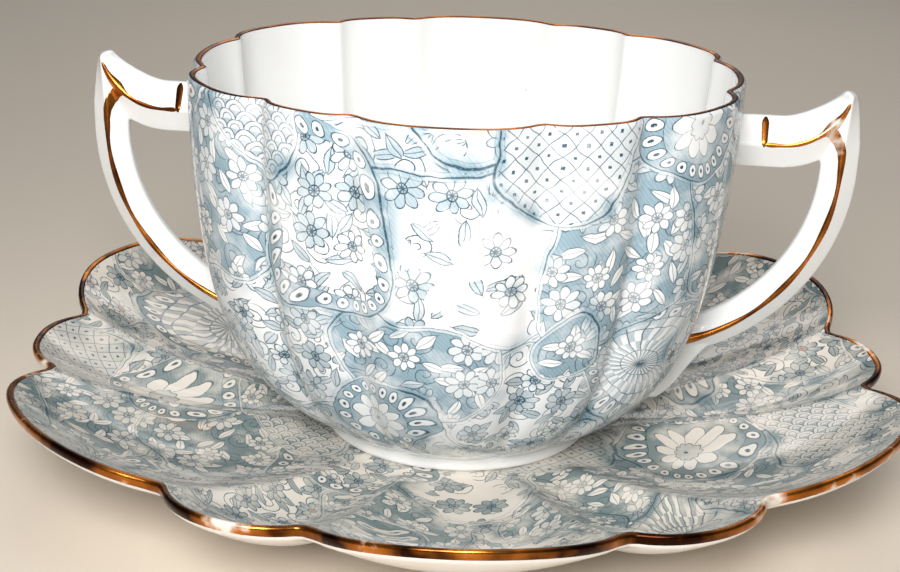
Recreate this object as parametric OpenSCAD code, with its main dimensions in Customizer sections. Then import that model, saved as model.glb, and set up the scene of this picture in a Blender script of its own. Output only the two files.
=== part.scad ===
// Fluted bouillon cup with two handles, standing on its petal-edged saucer.
// Millimetres, +Z up. The origin is on the table, on the axis of cup and saucer.
// The cup's handles point along +X and -X, and its front faces -Y.

/* [Saucer] */
// Radius from the axis to the tips of the wide petals
saucer_r = 80; // [72:0.5:92]
// Height of the wide petals' tips above the table
saucer_h = 23; // [17:0.5:30]
// How far the notches between the petals cut in from the tips
notch_depth = 8.3; // [4:0.1:10]
// Width of the front and back petals, in degrees
front_petal = 37; // [30:0.5:44]
// Width of the narrow petals beside them, in degrees
narrow_petal = 20; // [14:0.5:24]
// Width of the petals at the two sides, in degrees
side_petal = 20.5; // [14:0.5:28]
// How full the petals' outlines are, as a power
petal_fullness = 2.4; // [2:0.1:3]
// Height that the ridges between the petals would reach at the tips
ridge_h = 9; // [4:0.1:11]
// How late the ridges rise from the well, as a power
ridge_curve = 0.8; // [0.7:0.05:1.5]
// Share of their height that the ridges lose again towards the edge
ridge_fall_ratio = 0.8; // [0.6:0.05:0.9]
// How late the dish turns up towards its edge, as a power
dish_curve = 2.75; // [1.6:0.05:3.4]
// Thickness of the saucer's china
saucer_wall = 2.6; // [1.8:0.1:3.6]
// How far the saucer is turned under the cup, in degrees
saucer_turn = 7.9; // [-45:0.1:45]
// Clearance between the cup's foot and the edge of the flat well that it stands in
well_gap = 3; // [1:0.1:6]
// Height of the well's floor above the table
well_h = 5.5; // [4.5:0.1:8]
// Width of the saucer's foot ring
saucer_foot_w = 3.4; // [2:0.1:5]

/* [Cup] */
// Radius from the axis to the crown of the front flute, at the rim
cup_rim_r = 48.4; // [42:0.1:56]
// Height of the cup from its foot to its rim
cup_h = 64.9; // [55:0.1:76]
// Thickness of the cup's china
cup_wall = 2.2; // [1.6:0.1:3]
// Outer radius of the cup's foot ring
cup_foot_r = 24; // [20:0.5:25]
// Height of the foot ring
cup_foot_h = 2.5; // [1.5:0.1:4]
// Width of the foot ring
cup_foot_w = 3.2; // [2:0.1:5]
// Height over which the belly rounds out from the foot
belly_h = 10; // [6:0.1:13]
// How far the wall above the belly leans outwards
cup_flare = 7.2; // [3:0.1:10]
// How soon that lean dies away towards the rim, as a power
flare_curve = 2; // [1:0.1:3]

/* [Flutes] */
// Depth of the creases between the flutes, at the rim
flute_depth = 3.1; // [1:0.1:5]
// How full the flutes' outlines are, as a power
flute_fullness = 3.4; // [2:0.1:4]
// Height above the foot over which the creases fade
flute_fade = 7; // [4:0.5:16]
// Width of the front and back flutes, in degrees
front_flute = 36.4; // [30:0.1:42]
// Width of the narrow flutes beside them, in degrees
narrow_flute = 20.6; // [14:0.1:26]
// Width of the flutes that carry the handles, in degrees
handle_flute = 33; // [26:0.1:42]
// Share of the other flutes' bulge that the flutes with the handles have
handle_bulge_ratio = 0.35; // [0.2:0.05:1]
// Turn of the fluting against the handles, in degrees
flute_turn = 2.5; // [-5:0.1:5]

/* [Handles] */
// How far a loop's middle line stands out beyond the rim's radius
handle_out = 14.4; // [13:0.1:20]
// Height above the cup's foot where a loop's middle line meets the bowl
root_h = 18.6; // [15:0.1:24]
// Width of the loop from its outer to its inner edge
loop_w = 6.2; // [5:0.1:8]
// Drop from the rim to the upper arm's middle line
arm_drop = 10.4; // [9:0.1:16]
// Drop from the arm's middle line to the start of the loop's bend
bend_drop = 4; // [2:0.1:6]
// Depth of the upper arm from its top to its bottom edge
arm_w = 8.8; // [7:0.1:10]
// Rise of the middle line from the arm to the horn's tip
horn_h = 8.2; // [7:0.1:10]
// How far the horn's tip leans out past the loop
horn_lean = 0.5; // [0:0.1:2]
// Radius of the sweep from the arm up into the horn
horn_sweep = 11; // [9:0.5:14]
// Width of the horn at its tip
horn_w = 2.6; // [1.5:0.1:4]
// Thickness of a handle across its two side ridges
handle_t = 6.4; // [5:0.1:8]
// Width of the flat on a handle's outer and inner edges
edge_flat = 1.6; // [0.8:0.1:2.4]
// Height above the cup's foot where the tail below a handle ends
tail_h = 6.5; // [5:0.5:12]
// Width of the tail where it leaves the handle
tail_w = 6; // [4:0.1:8]
// How far the tail stands proud of the bowl
tail_t = 6; // [3:0.1:8]

/* [Gilding] */
// Thickness of the gilding
gild_t = 0.25; // [0.15:0.05:0.4]
// Width of the gilt band on the saucer's edge
saucer_band = 1.2; // [0.8:0.1:4]
// Width of the gilt line on a handle's ridges
ridge_line = 1.3; // [0.8:0.1:2]
// Width of the gilt bar across a handle's root
root_bar = 1.4; // [0.8:0.1:2.5]
// Space between the bowl and the gilt bar
root_gap = 3.4; // [2:0.1:6]

/* [Hidden] */

// Straight pieces that stand for each flute or petal, and rows up the bowl and out along the dish
lobe_steps = 8;
bowl_rows = 13;
dish_rows = 11;
// How quickly the bowl's rows open out above the foot
row_spread = 1.8;
// Straight pieces along a handle's arm, its loop and its tail
arm_steps = 9;
loop_steps = 16;
tail_steps = 7;
// Straight pieces round a foot ring
ring_steps = 96;
// How late the arm narrows towards the horn's tip, as a power
horn_taper = 3;
// Step of the arm where the loop's gilt line branches off, and steps that the line stops short of the bowl
branch_step = 6;
line_short = 2;
// How far a loop's end runs into the bowl before the bowl cuts it off
root_run = 6;
// Share of its width that the tail loses by its end, and of its thickness between its two knobs
tail_narrow_ratio = 0.6;
tail_waist_ratio = 0.2;
// Width of the tail's crest, as a share of the tail's width
tail_crest_ratio = 0.5;

// Heights above the table
foot_top_z = well_h + cup_foot_h;
rim_z = well_h + cup_h;
arm_z = rim_z - arm_drop;
bend_z = arm_z - bend_drop;
root_z = well_h + root_h;
tail_z = well_h + tail_h;

// The bowl alone, from the foot ring up to the gilding
bowl_h = rim_z - foot_top_z;
lip_h = bowl_h - gild_t;

// The saucer's well and the underside of its floor
well_r = cup_foot_r + well_gap;
dish_floor_z = well_h - saucer_wall;

// The flutes that carry the handles, counted round from the front
right_flute = 2;
left_flute = 8;

// Half widths of the lobes that reach the full radius
full_flute = front_flute / 2;
full_petal = (90 - side_petal / 2 - front_petal / 2 - narrow_petal) / 2;

// Bulge of the flutes with the handles, as a share of the front flute's
handle_ratio = handle_bulge_ratio * handle_flute / 2 / full_flute;

// Edges of the twelve lobes round the axis, in degrees from the front
function lobe_edges(front, narrow, side) =
    let (q = [front / 2, front / 2 + narrow, 90 - side / 2])
    [for (half = [0, 180], k = [0 : 5]) half + (k < 3 ? q[k] : 180 - q[5 - k])];

// Sampled directions of one lobe: angle, share of the full bulge, place across the lobe from -1 to 1
function lobe_samples(low, high, share, last) =
    [for (k = [0 : last]) let (t = 2 * k / lobe_steps - 1)
        [(low + high) / 2 + t * (high - low) / 2, share, t]];

// Sampled directions all round, with bulges that grow with the lobes' widths
function round_samples(edges, full, side_bulge) =
    [for (i = [0 : 11])
        let (high = i < 11 ? edges[i + 1] : edges[0] + 360,
             side = i == right_flute || i == left_flute ? side_bulge : 1)
        each lobe_samples(edges[i], high, side * (high - edges[i]) / 2 / full, lobe_steps - 1)];

flute_edges = lobe_edges(front_flute, narrow_flute, handle_flute);
flute_dirs = round_samples(flute_edges, full_flute, handle_bulge_ratio);
petal_dirs = round_samples(lobe_edges(front_petal, narrow_petal, side_petal), full_petal, 1);

// Share of the bulge left in a sampled direction
function bulge_share(dir, fullness) = dir[1] * (1 - pow(abs(dir[2]), fullness));

// A point at a radius and height, in a direction from the front
function polar(r, angle, z) = [r * sin(angle), -r * cos(angle), z];

// Radius of the bowl's full flutes, and the slope of its wall, at a height above the foot ring
function bowl_profile(h) =
    cup_foot_r + (cup_rim_r - cup_flare - cup_foot_r) * (1 - exp(-h / belly_h))
    + cup_flare * (1 - pow(1 - h / bowl_h, flare_curve));
function bowl_slope(h) =
    (cup_rim_r - cup_flare - cup_foot_r) / belly_h * exp(-h / belly_h)
    + cup_flare * flare_curve / bowl_h * pow(1 - h / bowl_h, flare_curve - 1);

// Radius of the fluted bowl in a sampled direction
function bowl_r(dir, h) =
    let (depth = flute_depth * (1 - exp(-h / flute_fade)))
    bowl_profile(h) - depth * (1 - bulge_share(dir, flute_fullness));

// Radius of the bowl where the handles stand
function root_r(h) = bowl_r([0, handle_ratio, 0], h);

// Height above the foot ring of each row of the bowl
function row_h(k) = lip_h * pow(k / bowl_rows, row_spread);

// One ring of points on the bowl, set in from its outer face by a wall
function bowl_ring(dirs, h, wall) =
    let (slope = bowl_slope(h),
         lean = sqrt(1 + slope * slope))
    [for (d = dirs) polar(bowl_r(d, h) - wall / lean, d[0] + flute_turn,
                          foot_top_z + h + wall * slope / lean)];

// Radius of the saucer's edge in a sampled direction
function petal_r(dir) = saucer_r - notch_depth * (1 - bulge_share(dir, petal_fullness));

// Height of the saucer's upper face
function dish_z(dir, r) =
    let (u = (r - well_r) / (saucer_r - well_r),
         ridge = ridge_h * pow(u, ridge_curve) * (1 - ridge_fall_ratio * u))
    well_h + (saucer_h - well_h) * pow(u, dish_curve) + ridge * dir[2] * dir[2];

// One ring of points on the saucer: a share of the way from the well to the gilding, and what comes off
function dish_ring(share, drop) =
    [for (d = petal_dirs) let (r = well_r + share * (petal_r(d) - saucer_band - well_r))
        polar(r, d[0] + saucer_turn, dish_z(d, r) - drop)];
function edge_ring(drop) =
    [for (d = petal_dirs) let (r = petal_r(d)) polar(r, d[0] + saucer_turn, dish_z(d, r) - drop)];

// Triangles between neighbouring rings of n points, in an open skin or a hoop
function skin_faces(rings, n) =
    [for (j = [0 : rings - 2], i = [0 : n - 1], side = [0, 1])
        let (a = j * n + i,
             b = j * n + (i + 1) % n)
        side == 0 ? [a, a + n, b + n] : [a, b + n, b]];
function hoop_faces(rings, n) =
    [for (j = [0 : rings - 1], i = [0 : n - 1], side = [0, 1])
        let (a = j * n + i,
             b = j * n + (i + 1) % n,
             up = ((j + 1) % rings - j) * n)
        side == 0 ? [a, a + up, b] : [b, a + up, b + up]];

// A closed solid of rings that starts and ends in a point
module pointed_solid(rings, first, last) {
    n = len(rings[0]);
    total = len(rings) * n;
    points = [for (ring = rings) each ring];
    caps = [for (i = [0 : n - 1]) each [[total, i, (i + 1) % n],
            [total + 1, total - n + (i + 1) % n, total - n + i]]];
    polyhedron(concat(points, [first, last]), concat(skin_faces(len(rings), n), caps));
}

// A closed solid of rings with a flat end at each side
module capped_solid(rings) {
    n = len(rings[0]);
    total = len(rings) * n;
    points = [for (ring = rings) each ring];
    caps = [[for (i = [0 : n - 1]) i], [for (i = [1 : n]) total - i]];
    polyhedron(points, concat(skin_faces(len(rings), n), caps));
}

// A closed hoop of rings
module hoop_solid(rings) {
    points = [for (ring = rings) each ring];
    polyhedron(points, hoop_faces(len(rings), len(rings[0])));
}

module saucer_dish() {
    lower = [for (k = [0 : dish_rows]) dish_ring(k / dish_rows, saucer_wall)];
    upper = [for (k = [dish_rows : -1 : 0]) dish_ring(k / dish_rows, 0)];
    rebate = [edge_ring(saucer_wall), edge_ring(gild_t), dish_ring(1, gild_t)];
    color("lightsteelblue")
        pointed_solid(concat(lower, rebate, upper), [0, 0, dish_floor_z], [0, 0, well_h]);
}

module saucer_foot_ring() {
    color("white")
        rotate_extrude($fn = ring_steps)
            translate([well_r - saucer_foot_w, 0])
                square([saucer_foot_w, dish_floor_z]);
}

module saucer_rim_gilding() {
    color("goldenrod")
        hoop_solid([dish_ring(1, gild_t), edge_ring(gild_t), edge_ring(0), dish_ring(1, 0)]);
}

module cup_bowl() {
    outer = [for (k = [0 : bowl_rows]) bowl_ring(flute_dirs, row_h(k), 0)];
    inner = [for (k = [bowl_rows : -1 : 0]) bowl_ring(flute_dirs, row_h(k), cup_wall)];
    floor_z = inner[bowl_rows][0][2];
    color("aliceblue")
        pointed_solid(concat(outer, inner), [0, 0, foot_top_z], [0, 0, floor_z]);
}

module cup_foot_ring() {
    color("white")
        translate([0, 0, well_h])
            rotate_extrude($fn = ring_steps)
                translate([cup_foot_r - cup_foot_w, 0])
                    square([cup_foot_w, cup_foot_h]);
}

module cup_rim_gilding() {
    lip = [bowl_ring(flute_dirs, lip_h, 0), bowl_ring(flute_dirs, lip_h, cup_wall)];
    lifted = [for (ring = lip) [for (p = ring) p + [0, 0, rim_z - lip[0][0][2]]]];
    color("goldenrod")
        hoop_solid([lip[0], lifted[0], lifted[1], lip[1]]);
}

// Section of a handle across its path: in the handle's plane, then across it
function handle_section(w) =
    [[w / 2, -edge_flat / 2], [ridge_line / 2, -handle_t / 2],
     [-ridge_line / 2, -handle_t / 2], [-w / 2, -edge_flat / 2],
     [-w / 2, edge_flat / 2], [-ridge_line / 2, handle_t / 2],
     [ridge_line / 2, handle_t / 2], [w / 2, edge_flat / 2]];

// A ring of a handle at a station: reach, height, heading in degrees and width
function handle_ring(s) =
    [for (p = handle_section(s[3])) [s[0] - p[0] * sin(s[2]), p[1], s[1] + p[0] * cos(s[2])]];

// The arm runs level out of the bowl and sweeps up into the horn
handle_reach = cup_rim_r + handle_out;
horn_x = handle_reach + horn_lean;
arm_in = root_r(arm_z - foot_top_z) - cup_wall;
sweep_angle = acos(1 - horn_h / horn_sweep);
sweep_x = horn_x - horn_sweep * sin(sweep_angle);
arm_path = concat([[arm_in, arm_z, 0, arm_w]],
    [for (k = [0 : arm_steps]) let (t = k / arm_steps, a = sweep_angle * t)
        [sweep_x + horn_sweep * sin(a), arm_z + horn_sweep * (1 - cos(a)), a,
         arm_w + (horn_w - arm_w) * pow(t, horn_taper)]]);
horn_end = arm_path[arm_steps + 1];

// The loop comes down from the horn, bends round to the bowl and runs on into it
loop_in = handle_reach - root_r(root_z - foot_top_z);
loop_angle = 2 * atan(loop_in / (bend_z - root_z));
loop_r = loop_in / (1 - cos(loop_angle));
loop_bend = [for (k = [0 : loop_steps]) let (a = loop_angle * k / loop_steps)
    [handle_reach - loop_r * (1 - cos(a)), bend_z - loop_r * sin(a), -90 - a, loop_w]];
loop_end = loop_bend[loop_steps];
loop_top = [[horn_end[0], horn_end[1], -90, horn_w], [handle_reach, arm_z, -90, loop_w]];
loop_buried = [loop_end[0] + root_run * cos(loop_end[2]), loop_end[1] + root_run * sin(loop_end[2]),
               loop_end[2], loop_w];
loop_path = concat(loop_top, loop_bend, [loop_buried]);

// The tail lies on the bowl below the loop and narrows to its end
tail_top = root_z + loop_w / 2;
function tail_ring(k) =
    let (t = k / tail_steps,
         z = tail_top + (tail_z - tail_top) * t,
         h = z - foot_top_z,
         r = root_r(h),
         w = tail_w * (1 - tail_narrow_ratio * t * t),
         crest = tail_crest_ratio * w,
         proud = tail_t * (1 - tail_waist_ratio * pow(sin(180 * t), 2)))
    [[r - cup_wall, w / 2, z], [r, w / 2, z], [r + proud, crest / 2, z],
     [r + proud, -crest / 2, z], [r, -w / 2, z], [r - cup_wall, -w / 2, z]];

module handle_blank() {
    capped_solid([for (s = arm_path) handle_ring(s)]);
    capped_solid([for (s = loop_path) handle_ring(s)]);
    capped_solid([for (k = [0 : tail_steps]) tail_ring(k)]);
}

// The part of the bowl behind a handle, filled in to the axis
module bowl_core(flute) {
    dirs = lobe_samples(flute_edges[flute], flute_edges[flute + 1], handle_ratio, lobe_steps);
    capped_solid([for (k = [0 : bowl_rows]) let (ring = bowl_ring(dirs, row_h(k), 0))
        concat([[0, 0, ring[0][2]]], ring)]);
}

module right_handle() {
    color("white")
        difference() {
            handle_blank();
            bowl_core(right_flute);
        }
}

module left_handle() {
    color("white")
        difference() {
            mirror([1, 0, 0]) handle_blank();
            bowl_core(left_flute);
        }
}

// Where the gilt line starts, just outside the bowl
line_in = root_r(arm_z - foot_top_z) + root_gap;

// Outline of the gilt line along a path of stations
function line_side(path, side) =
    [for (s = path) [s[0] - side * ridge_line / 2 * sin(s[2]), s[1] + side * ridge_line / 2 * cos(s[2])]];
module gilt_line(path) {
    back = line_side(path, -1);
    last = len(back) - 1;
    polygon(concat(line_side(path, 1), [for (k = [0 : last]) back[last - k]]));
}

// The gilt bar climbs from the ridge over the arm's upper face
module gilt_bar() {
    low = [handle_t / 2, -ridge_line / 2];
    bend = [handle_t / 2, ridge_line / 2];
    top = [edge_flat / 2, arm_w / 2];
    rise = top - bend;
    out = [rise[1], -rise[0]] / norm(rise) * gild_t;
    translate([line_in, 0, arm_z])
        rotate([90, 0, 90])
            linear_extrude(root_bar)
                polygon([low, bend, top, top + out, bend + [gild_t, out[1]], low + [gild_t, 0]]);
}

module handle_gilding() {
    start = [line_in, arm_z, 0, arm_w];
    arm_line = concat([start], [for (s = arm_path) if (s[0] > line_in + root_bar) s]);
    branch = arm_path[branch_step + 1];
    loop_line = concat([[branch[0], branch[1], branch[2] - 90, loop_w], loop_top[1]],
                       [for (k = [0 : loop_steps - line_short]) loop_bend[k]]);
    for (back = [0, 1]) mirror([0, back, 0]) {
        translate([0, handle_t / 2 + gild_t, 0])
            rotate([90, 0, 0])
                linear_extrude(gild_t) {
                    gilt_line(arm_line);
                    gilt_line(loop_line);
                }
        gilt_bar();
    }
}

module right_handle_gilding() {
    color("goldenrod") handle_gilding();
}

module left_handle_gilding() {
    color("goldenrod") mirror([1, 0, 0]) handle_gilding();
}

saucer_dish();
saucer_foot_ring();
saucer_rim_gilding();
cup_bowl();
cup_foot_ring();
cup_rim_gilding();
left_handle();
right_handle();
left_handle_gilding();
right_handle_gilding();
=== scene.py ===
"""Dresses a fluted bouillon cup and its petal-edged saucer in glazed bone china, print and gilding."""

import ast
import logging
import math
from dataclasses import dataclass, field
from enum import IntEnum
from typing import Any, Sequence

import bmesh
import bpy
import numpy as np
from mathutils import Matrix, Vector


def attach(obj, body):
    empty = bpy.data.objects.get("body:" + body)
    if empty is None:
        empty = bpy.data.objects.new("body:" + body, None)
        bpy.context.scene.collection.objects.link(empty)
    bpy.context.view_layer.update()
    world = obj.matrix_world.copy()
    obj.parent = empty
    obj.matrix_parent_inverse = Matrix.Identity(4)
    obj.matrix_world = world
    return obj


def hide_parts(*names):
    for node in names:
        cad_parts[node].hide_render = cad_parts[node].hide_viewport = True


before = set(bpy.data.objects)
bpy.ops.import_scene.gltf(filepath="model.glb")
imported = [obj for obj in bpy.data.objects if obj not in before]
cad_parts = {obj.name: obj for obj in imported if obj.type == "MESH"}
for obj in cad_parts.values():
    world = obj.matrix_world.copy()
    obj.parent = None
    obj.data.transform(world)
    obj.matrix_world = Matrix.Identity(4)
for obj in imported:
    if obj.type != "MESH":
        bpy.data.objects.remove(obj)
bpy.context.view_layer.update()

log = logging.getLogger("bouillon_cup")

MM = 0.001
BAKE_MAP = "OFBake"
PRINT_MAP = "print_mm"
MAP_MARGIN = 0.004

# The print's tiles, in millimetres, and how many go round the cup.
TILE_HEIGHT, SAUCER_TILE = 78.0, 92.0
CUP_TILES = 3

UP = Vector((0, 0, 1))

# The twelve flutes or petals, counted from the front; this one and its opposite face the handles.
LOBE_COUNT = 12
SIDE_LOBE = 2

# Lengths in millimetres: points that merge, slivers that go, points that share a normal,
# where the gilt strokes start their drop on the handle and how far they may drop.
MERGE, SLIVER, SAME_SPOT = 0.002, 0.0005, 0.005
STAND_OFF, DROP_REACH = 12, 20

# Foot rings: how round the treads are, as shares of width and height, and in millimetres
# how the top spreads, sinks into the body and starts to spread below it.
FOOT_ROUND, FOOT_RISE = 0.3, 0.4
FOOT_SPLAY, FOOT_SUNK, FOOT_NECK = 0.25, 0.5, 0.3

# Math node operations that a formula may call by these short names.
FUNCTIONS = {
    "sin": "SINE", "cos": "COSINE", "sqrt": "SQRT", "abs": "ABSOLUTE", "min": "MINIMUM", "max": "MAXIMUM",
    "exp": "EXPONENT", "floor": "FLOOR", "fract": "FRACT", "angle": "ARCTAN2", "pingpong": "PINGPONG",
    "mod": "FLOORED_MODULO", "same": "COMPARE", "sat": "CLAMP",
}
OPERATORS = {
    ast.Add: "ADD", ast.Sub: "SUBTRACT", ast.Mult: "MULTIPLY", ast.Div: "DIVIDE", ast.Pow: "POWER",
    ast.Lt: "LESS_THAN", ast.Gt: "GREATER_THAN",
}


def linear(colour: str) -> tuple[float, float, float, float]:
    """Turns an sRGB hex colour into linear light.

    Args:
        colour: Six hex digits after a hash.

    Returns:
        Red, green, blue and an alpha of one.
    """
    parts = [int(colour[k:k + 2], 16) / 255 for k in (1, 3, 5)]
    red, green, blue = (p / 12.92 if p <= 0.04045 else ((p + 0.055) / 1.055) ** 2.4 for p in parts)
    return red, green, blue, 1.0


def plug(tree: bpy.types.NodeTree, node: bpy.types.Node, inputs: dict[Any, Any]) -> None:
    """Links a node's inputs or sets their values.

    Args:
        tree: The tree that holds the node.
        node: The node itself.
        inputs: Sockets to link, or values to set, by the input's name or place.
    """
    for key, value in inputs.items():
        if isinstance(value, bpy.types.NodeSocket):
            tree.links.new(value, node.inputs[key])
        else:
            node.inputs[key].default_value = value


def add(tree: bpy.types.NodeTree, kind: str, inputs: dict[Any, Any] | None = None, **settings: Any) -> Any:
    """Adds a node with its settings and links.

    Args:
        tree: The node tree that gets the node.
        kind: Blender's type name of the node.
        inputs: Sockets to link, or values to set, by the input's name or place.
        **settings: Properties of the node itself.

    Returns:
        The node's output sockets.
    """
    node = tree.nodes.new(kind)
    for name, value in settings.items():
        setattr(node, name, value)
    plug(tree, node, inputs or {})
    return node.outputs


def formula(tree: bpy.types.NodeTree, text: str, known: dict[str, Any]) -> dict[str, Any]:
    """Turns lines of plain arithmetic into math nodes.

    Args:
        tree: The node tree that gets the nodes.
        text: Lines such as "r = sqrt(x * x + y * y)".
        known: Sockets and numbers that the lines may name.

    Returns:
        All names, those of the lines among them.
    """
    names = dict(known)
    made: dict[Any, Any] = {}

    def calc(operation: str, *values: Any) -> Any:
        """Gives the node's result, which equal calls share.

        Args:
            operation: The math node's operation, or CLAMP.
            *values: Sockets and numbers to work on.

        Returns:
            The result's socket.
        """
        key = (operation, *(v if isinstance(v, (int, float)) else v.as_pointer() for v in values))
        if key not in made and operation == "CLAMP":
            made[key] = add(tree, "ShaderNodeClamp", {0: values[0]})[0]
        elif key not in made:
            made[key] = add(tree, "ShaderNodeMath", dict(enumerate(values)), operation=operation)[0]
        return made[key]

    def value_of(part: ast.expr) -> Any:
        """Gives the socket or number of one part of a line.

        Args:
            part: The part's syntax tree.

        Returns:
            A socket, or a number that needs no node.
        """
        if isinstance(part, ast.Constant):
            return float(part.value)
        if isinstance(part, ast.Name):
            return names[part.id]
        if isinstance(part, ast.UnaryOp):
            inner = value_of(part.operand)
            return -inner if isinstance(inner, (int, float)) else calc("MULTIPLY", inner, -1.0)
        if isinstance(part, ast.Call):
            return calc(FUNCTIONS[part.func.id], *(value_of(a) for a in part.args))
        if isinstance(part, ast.Compare):
            return calc(OPERATORS[type(part.ops[0])], value_of(part.left), value_of(part.comparators[0]))
        return calc(OPERATORS[type(part.op)], value_of(part.left), value_of(part.right))

    for line in ast.parse(text).body:
        names[line.targets[0].id] = value_of(line.value)
    return names


def new_material(name: str) -> bpy.types.Material:
    """Starts a material with a Principled shader.

    Args:
        name: The material's name.

    Returns:
        The material.
    """
    mat = bpy.data.materials.new(name)
    mat.use_nodes = True
    return mat


def mix(tree: bpy.types.NodeTree, share: Any, low: Any, high: str) -> Any:
    """Mixes two colours.

    Args:
        tree: The material's tree.
        share: Socket with the second colour's share.
        low: The first colour, a socket or sRGB hex.
        high: The second colour, sRGB hex.

    Returns:
        The mixed colour's socket.
    """
    first = linear(low) if isinstance(low, str) else low
    return add(tree, "ShaderNodeMix", {"Factor": share, "A": first, "B": linear(high)}, data_type="RGBA")[2]


def noise(tree: bpy.types.NodeTree, place: Any, size: float, detail: float) -> Any:
    """Gives solid noise whose blotches have a size in millimetres."""
    inputs = {"Vector": place, "Scale": 1 / (size * MM), "Detail": detail}
    return add(tree, "ShaderNodeTexNoise", inputs)["Fac"]


def flat_noise(tree: bpy.types.NodeTree, flat: Any, scale: float, detail: float) -> Any:
    """Gives the outputs of flat noise, with a scale for each millimetre of the print."""
    return add(tree, "ShaderNodeTexNoise", {"Vector": flat, "Scale": scale, "Detail": detail},
               noise_dimensions="2D")


def vector(tree: bpy.types.NodeTree, operation: str, *values: Any) -> Any:
    """Gives the result of a vector math node."""
    return add(tree, "ShaderNodeVectorMath", dict(enumerate(values)), operation=operation)[0]


@dataclass(frozen=True)
class BoneChina:
    """Slip-cast bone china under a clear lead glaze: a warm, faintly see-through white with a wet gloss."""

    name: str = "glazed_bone_china"
    body: str = "#f2f2f0"
    shade: str = "#eae9e6"
    speck: str = "#8d8478"
    cloud_mm: float = 18.0
    speck_mm: float = 9.0
    speck_reach: float = 0.022
    speck_chance: float = 0.72
    speck_dark: float = 0.55
    roughness: float = 0.07
    smear_mm: float = 26.0
    smear_range: tuple[float, float] = (0.35, 0.75)
    smear_gain: float = 1.9
    ripple_mm: float = 7.0
    ripple_strength: float = 0.35
    ripple_depth: float = 0.12
    ior: float = 1.52
    glow: float = 0.12
    glow_tint: tuple[float, float, float] = (1.0, 0.92, 0.8)
    glow_mm: float = 1.2

    def material(self) -> bpy.types.Material:
        """Builds the white finish.

        Returns:
            The material.
        """
        mat = new_material(self.name)
        tree = mat.node_tree
        place = add(tree, "ShaderNodeTexCoord")["Object"]
        white = mix(tree, noise(tree, place, self.cloud_mm, 2.0), self.body, self.shade)
        self.glaze(tree, self.specks(tree, place, white), place)
        return mat

    def specks(self, tree: bpy.types.NodeTree, place: Any, colour: Any) -> Any:
        """Adds the few iron specks that fire through the glaze.

        Args:
            tree: The material's tree.
            place: Socket with object coordinates.
            colour: Socket with the plain colour.

        Returns:
            The speckled colour's socket.
        """
        cells = add(tree, "ShaderNodeTexVoronoi", {"Vector": place, "Scale": 1 / (self.speck_mm * MM)})
        rare = add(tree, "ShaderNodeSeparateColor", {0: cells["Color"]})[0]
        got = formula(tree, "dot = (far < reach) * (rare > chance) * dark", {
            "far": cells["Distance"], "rare": rare, "reach": self.speck_reach, "chance": self.speck_chance,
            "dark": self.speck_dark})
        return mix(tree, got["dot"], colour, self.speck)

    def glaze(self, tree: bpy.types.NodeTree, colour: Any, place: Any) -> None:
        """Gives a material's shader the wet gloss of a fired glaze.

        Args:
            tree: The material's tree, with its Principled node.
            colour: Socket with the colour under the glaze.
            place: Socket with object coordinates.
        """
        smear = noise(tree, place, self.smear_mm, 3.0)
        low, high = self.smear_range
        rough = add(tree, "ShaderNodeMapRange", {0: smear, 1: low, 2: high, 3: self.roughness,
                                                 4: self.roughness * self.smear_gain})[0]
        bump = add(tree, "ShaderNodeBump", {"Height": noise(tree, place, self.ripple_mm, 1.0),
                                            "Strength": self.ripple_strength,
                                            "Distance": self.ripple_depth * MM})[0]
        plug(tree, tree.nodes["Principled BSDF"], {
            "Base Color": colour, "Roughness": rough, "Normal": bump, "IOR": self.ior,
            "Subsurface Weight": self.glow, "Subsurface Radius": self.glow_tint,
            "Subsurface Scale": self.glow_mm * MM})


# The gilding's tone, its deep brown stretches partly its own and partly painted dark reflection, its rubbed
# places and what they do to the shine.
GILT_LINES = """
tone = min(max((brush - 0.4) * 5, 0), 1)
worn = min(max((rub * 0.2 + brush * 0.8 - edge) * 12, 0), 1)
metal = 1 - worn * 0.9
rough = 0.16 + rub * 0.2 + worn * 0.1
"""


@dataclass(frozen=True)
class Gilding:
    """Burnished liquid gold, fired on: brown-gold, mirror-like, thin and rubbed in places; its deep brown
    stretches are partly the gold's own tone and partly painted dark reflection.
    """

    name: str = "burnished_gilding"
    gold: str = "#cc7a30"
    # Deep brown: partly the gold's own tone, partly painted dark reflection.
    deep: str = "#6d3715"
    bare: str = "#e6ddcf"
    wear: float = 0.1
    unworn: float = 0.68
    wear_gain: float = 0.3
    brush_and_reflection_mm: float = 11.0
    rub_mm: float = 1.6
    bump_strength: float = 0.25
    bump_depth: float = 0.05

    def material(self) -> bpy.types.Material:
        """Builds the gilt finish.

        Returns:
            The material.
        """
        mat = new_material(self.name)
        tree = mat.node_tree
        place = add(tree, "ShaderNodeTexCoord")["Object"]
        brush, rub = noise(tree, place, self.brush_and_reflection_mm, 3.0), noise(tree, place, self.rub_mm, 5.0)
        got = formula(tree, GILT_LINES, {"brush": brush, "rub": rub,
                                         "edge": self.unworn - self.wear * self.wear_gain})
        # Painted dark reflection: deep brown stretches mixed into the gold, partly its own tone.
        gold = mix(tree, got["tone"], self.deep, self.gold)
        bump = add(tree, "ShaderNodeBump", {"Height": rub, "Strength": self.bump_strength,
                                            "Distance": self.bump_depth * MM})[0]
        plug(tree, tree.nodes["Principled BSDF"], {
            "Base Color": mix(tree, got["worn"], gold, self.bare), "Metallic": got["metal"],
            "Roughness": got["rough"], "Normal": bump})
        return mat


class Fill(IntEnum):
    """What a patch of the print is filled with."""

    DAISIES = 0
    RESERVED = 1
    TRELLIS = 2
    SCALES = 3
    PLEATS = 4
    SCROLLS = 5
    SPRIGS = 6
    ROSETTE = 7


@dataclass(frozen=True)
class Patch:
    """One round patch of the print: its middle on the tile and its radius in millimetres, and its fill."""

    x: float
    y: float
    radius: float
    fill: Fill
    beaded: bool = False


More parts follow.
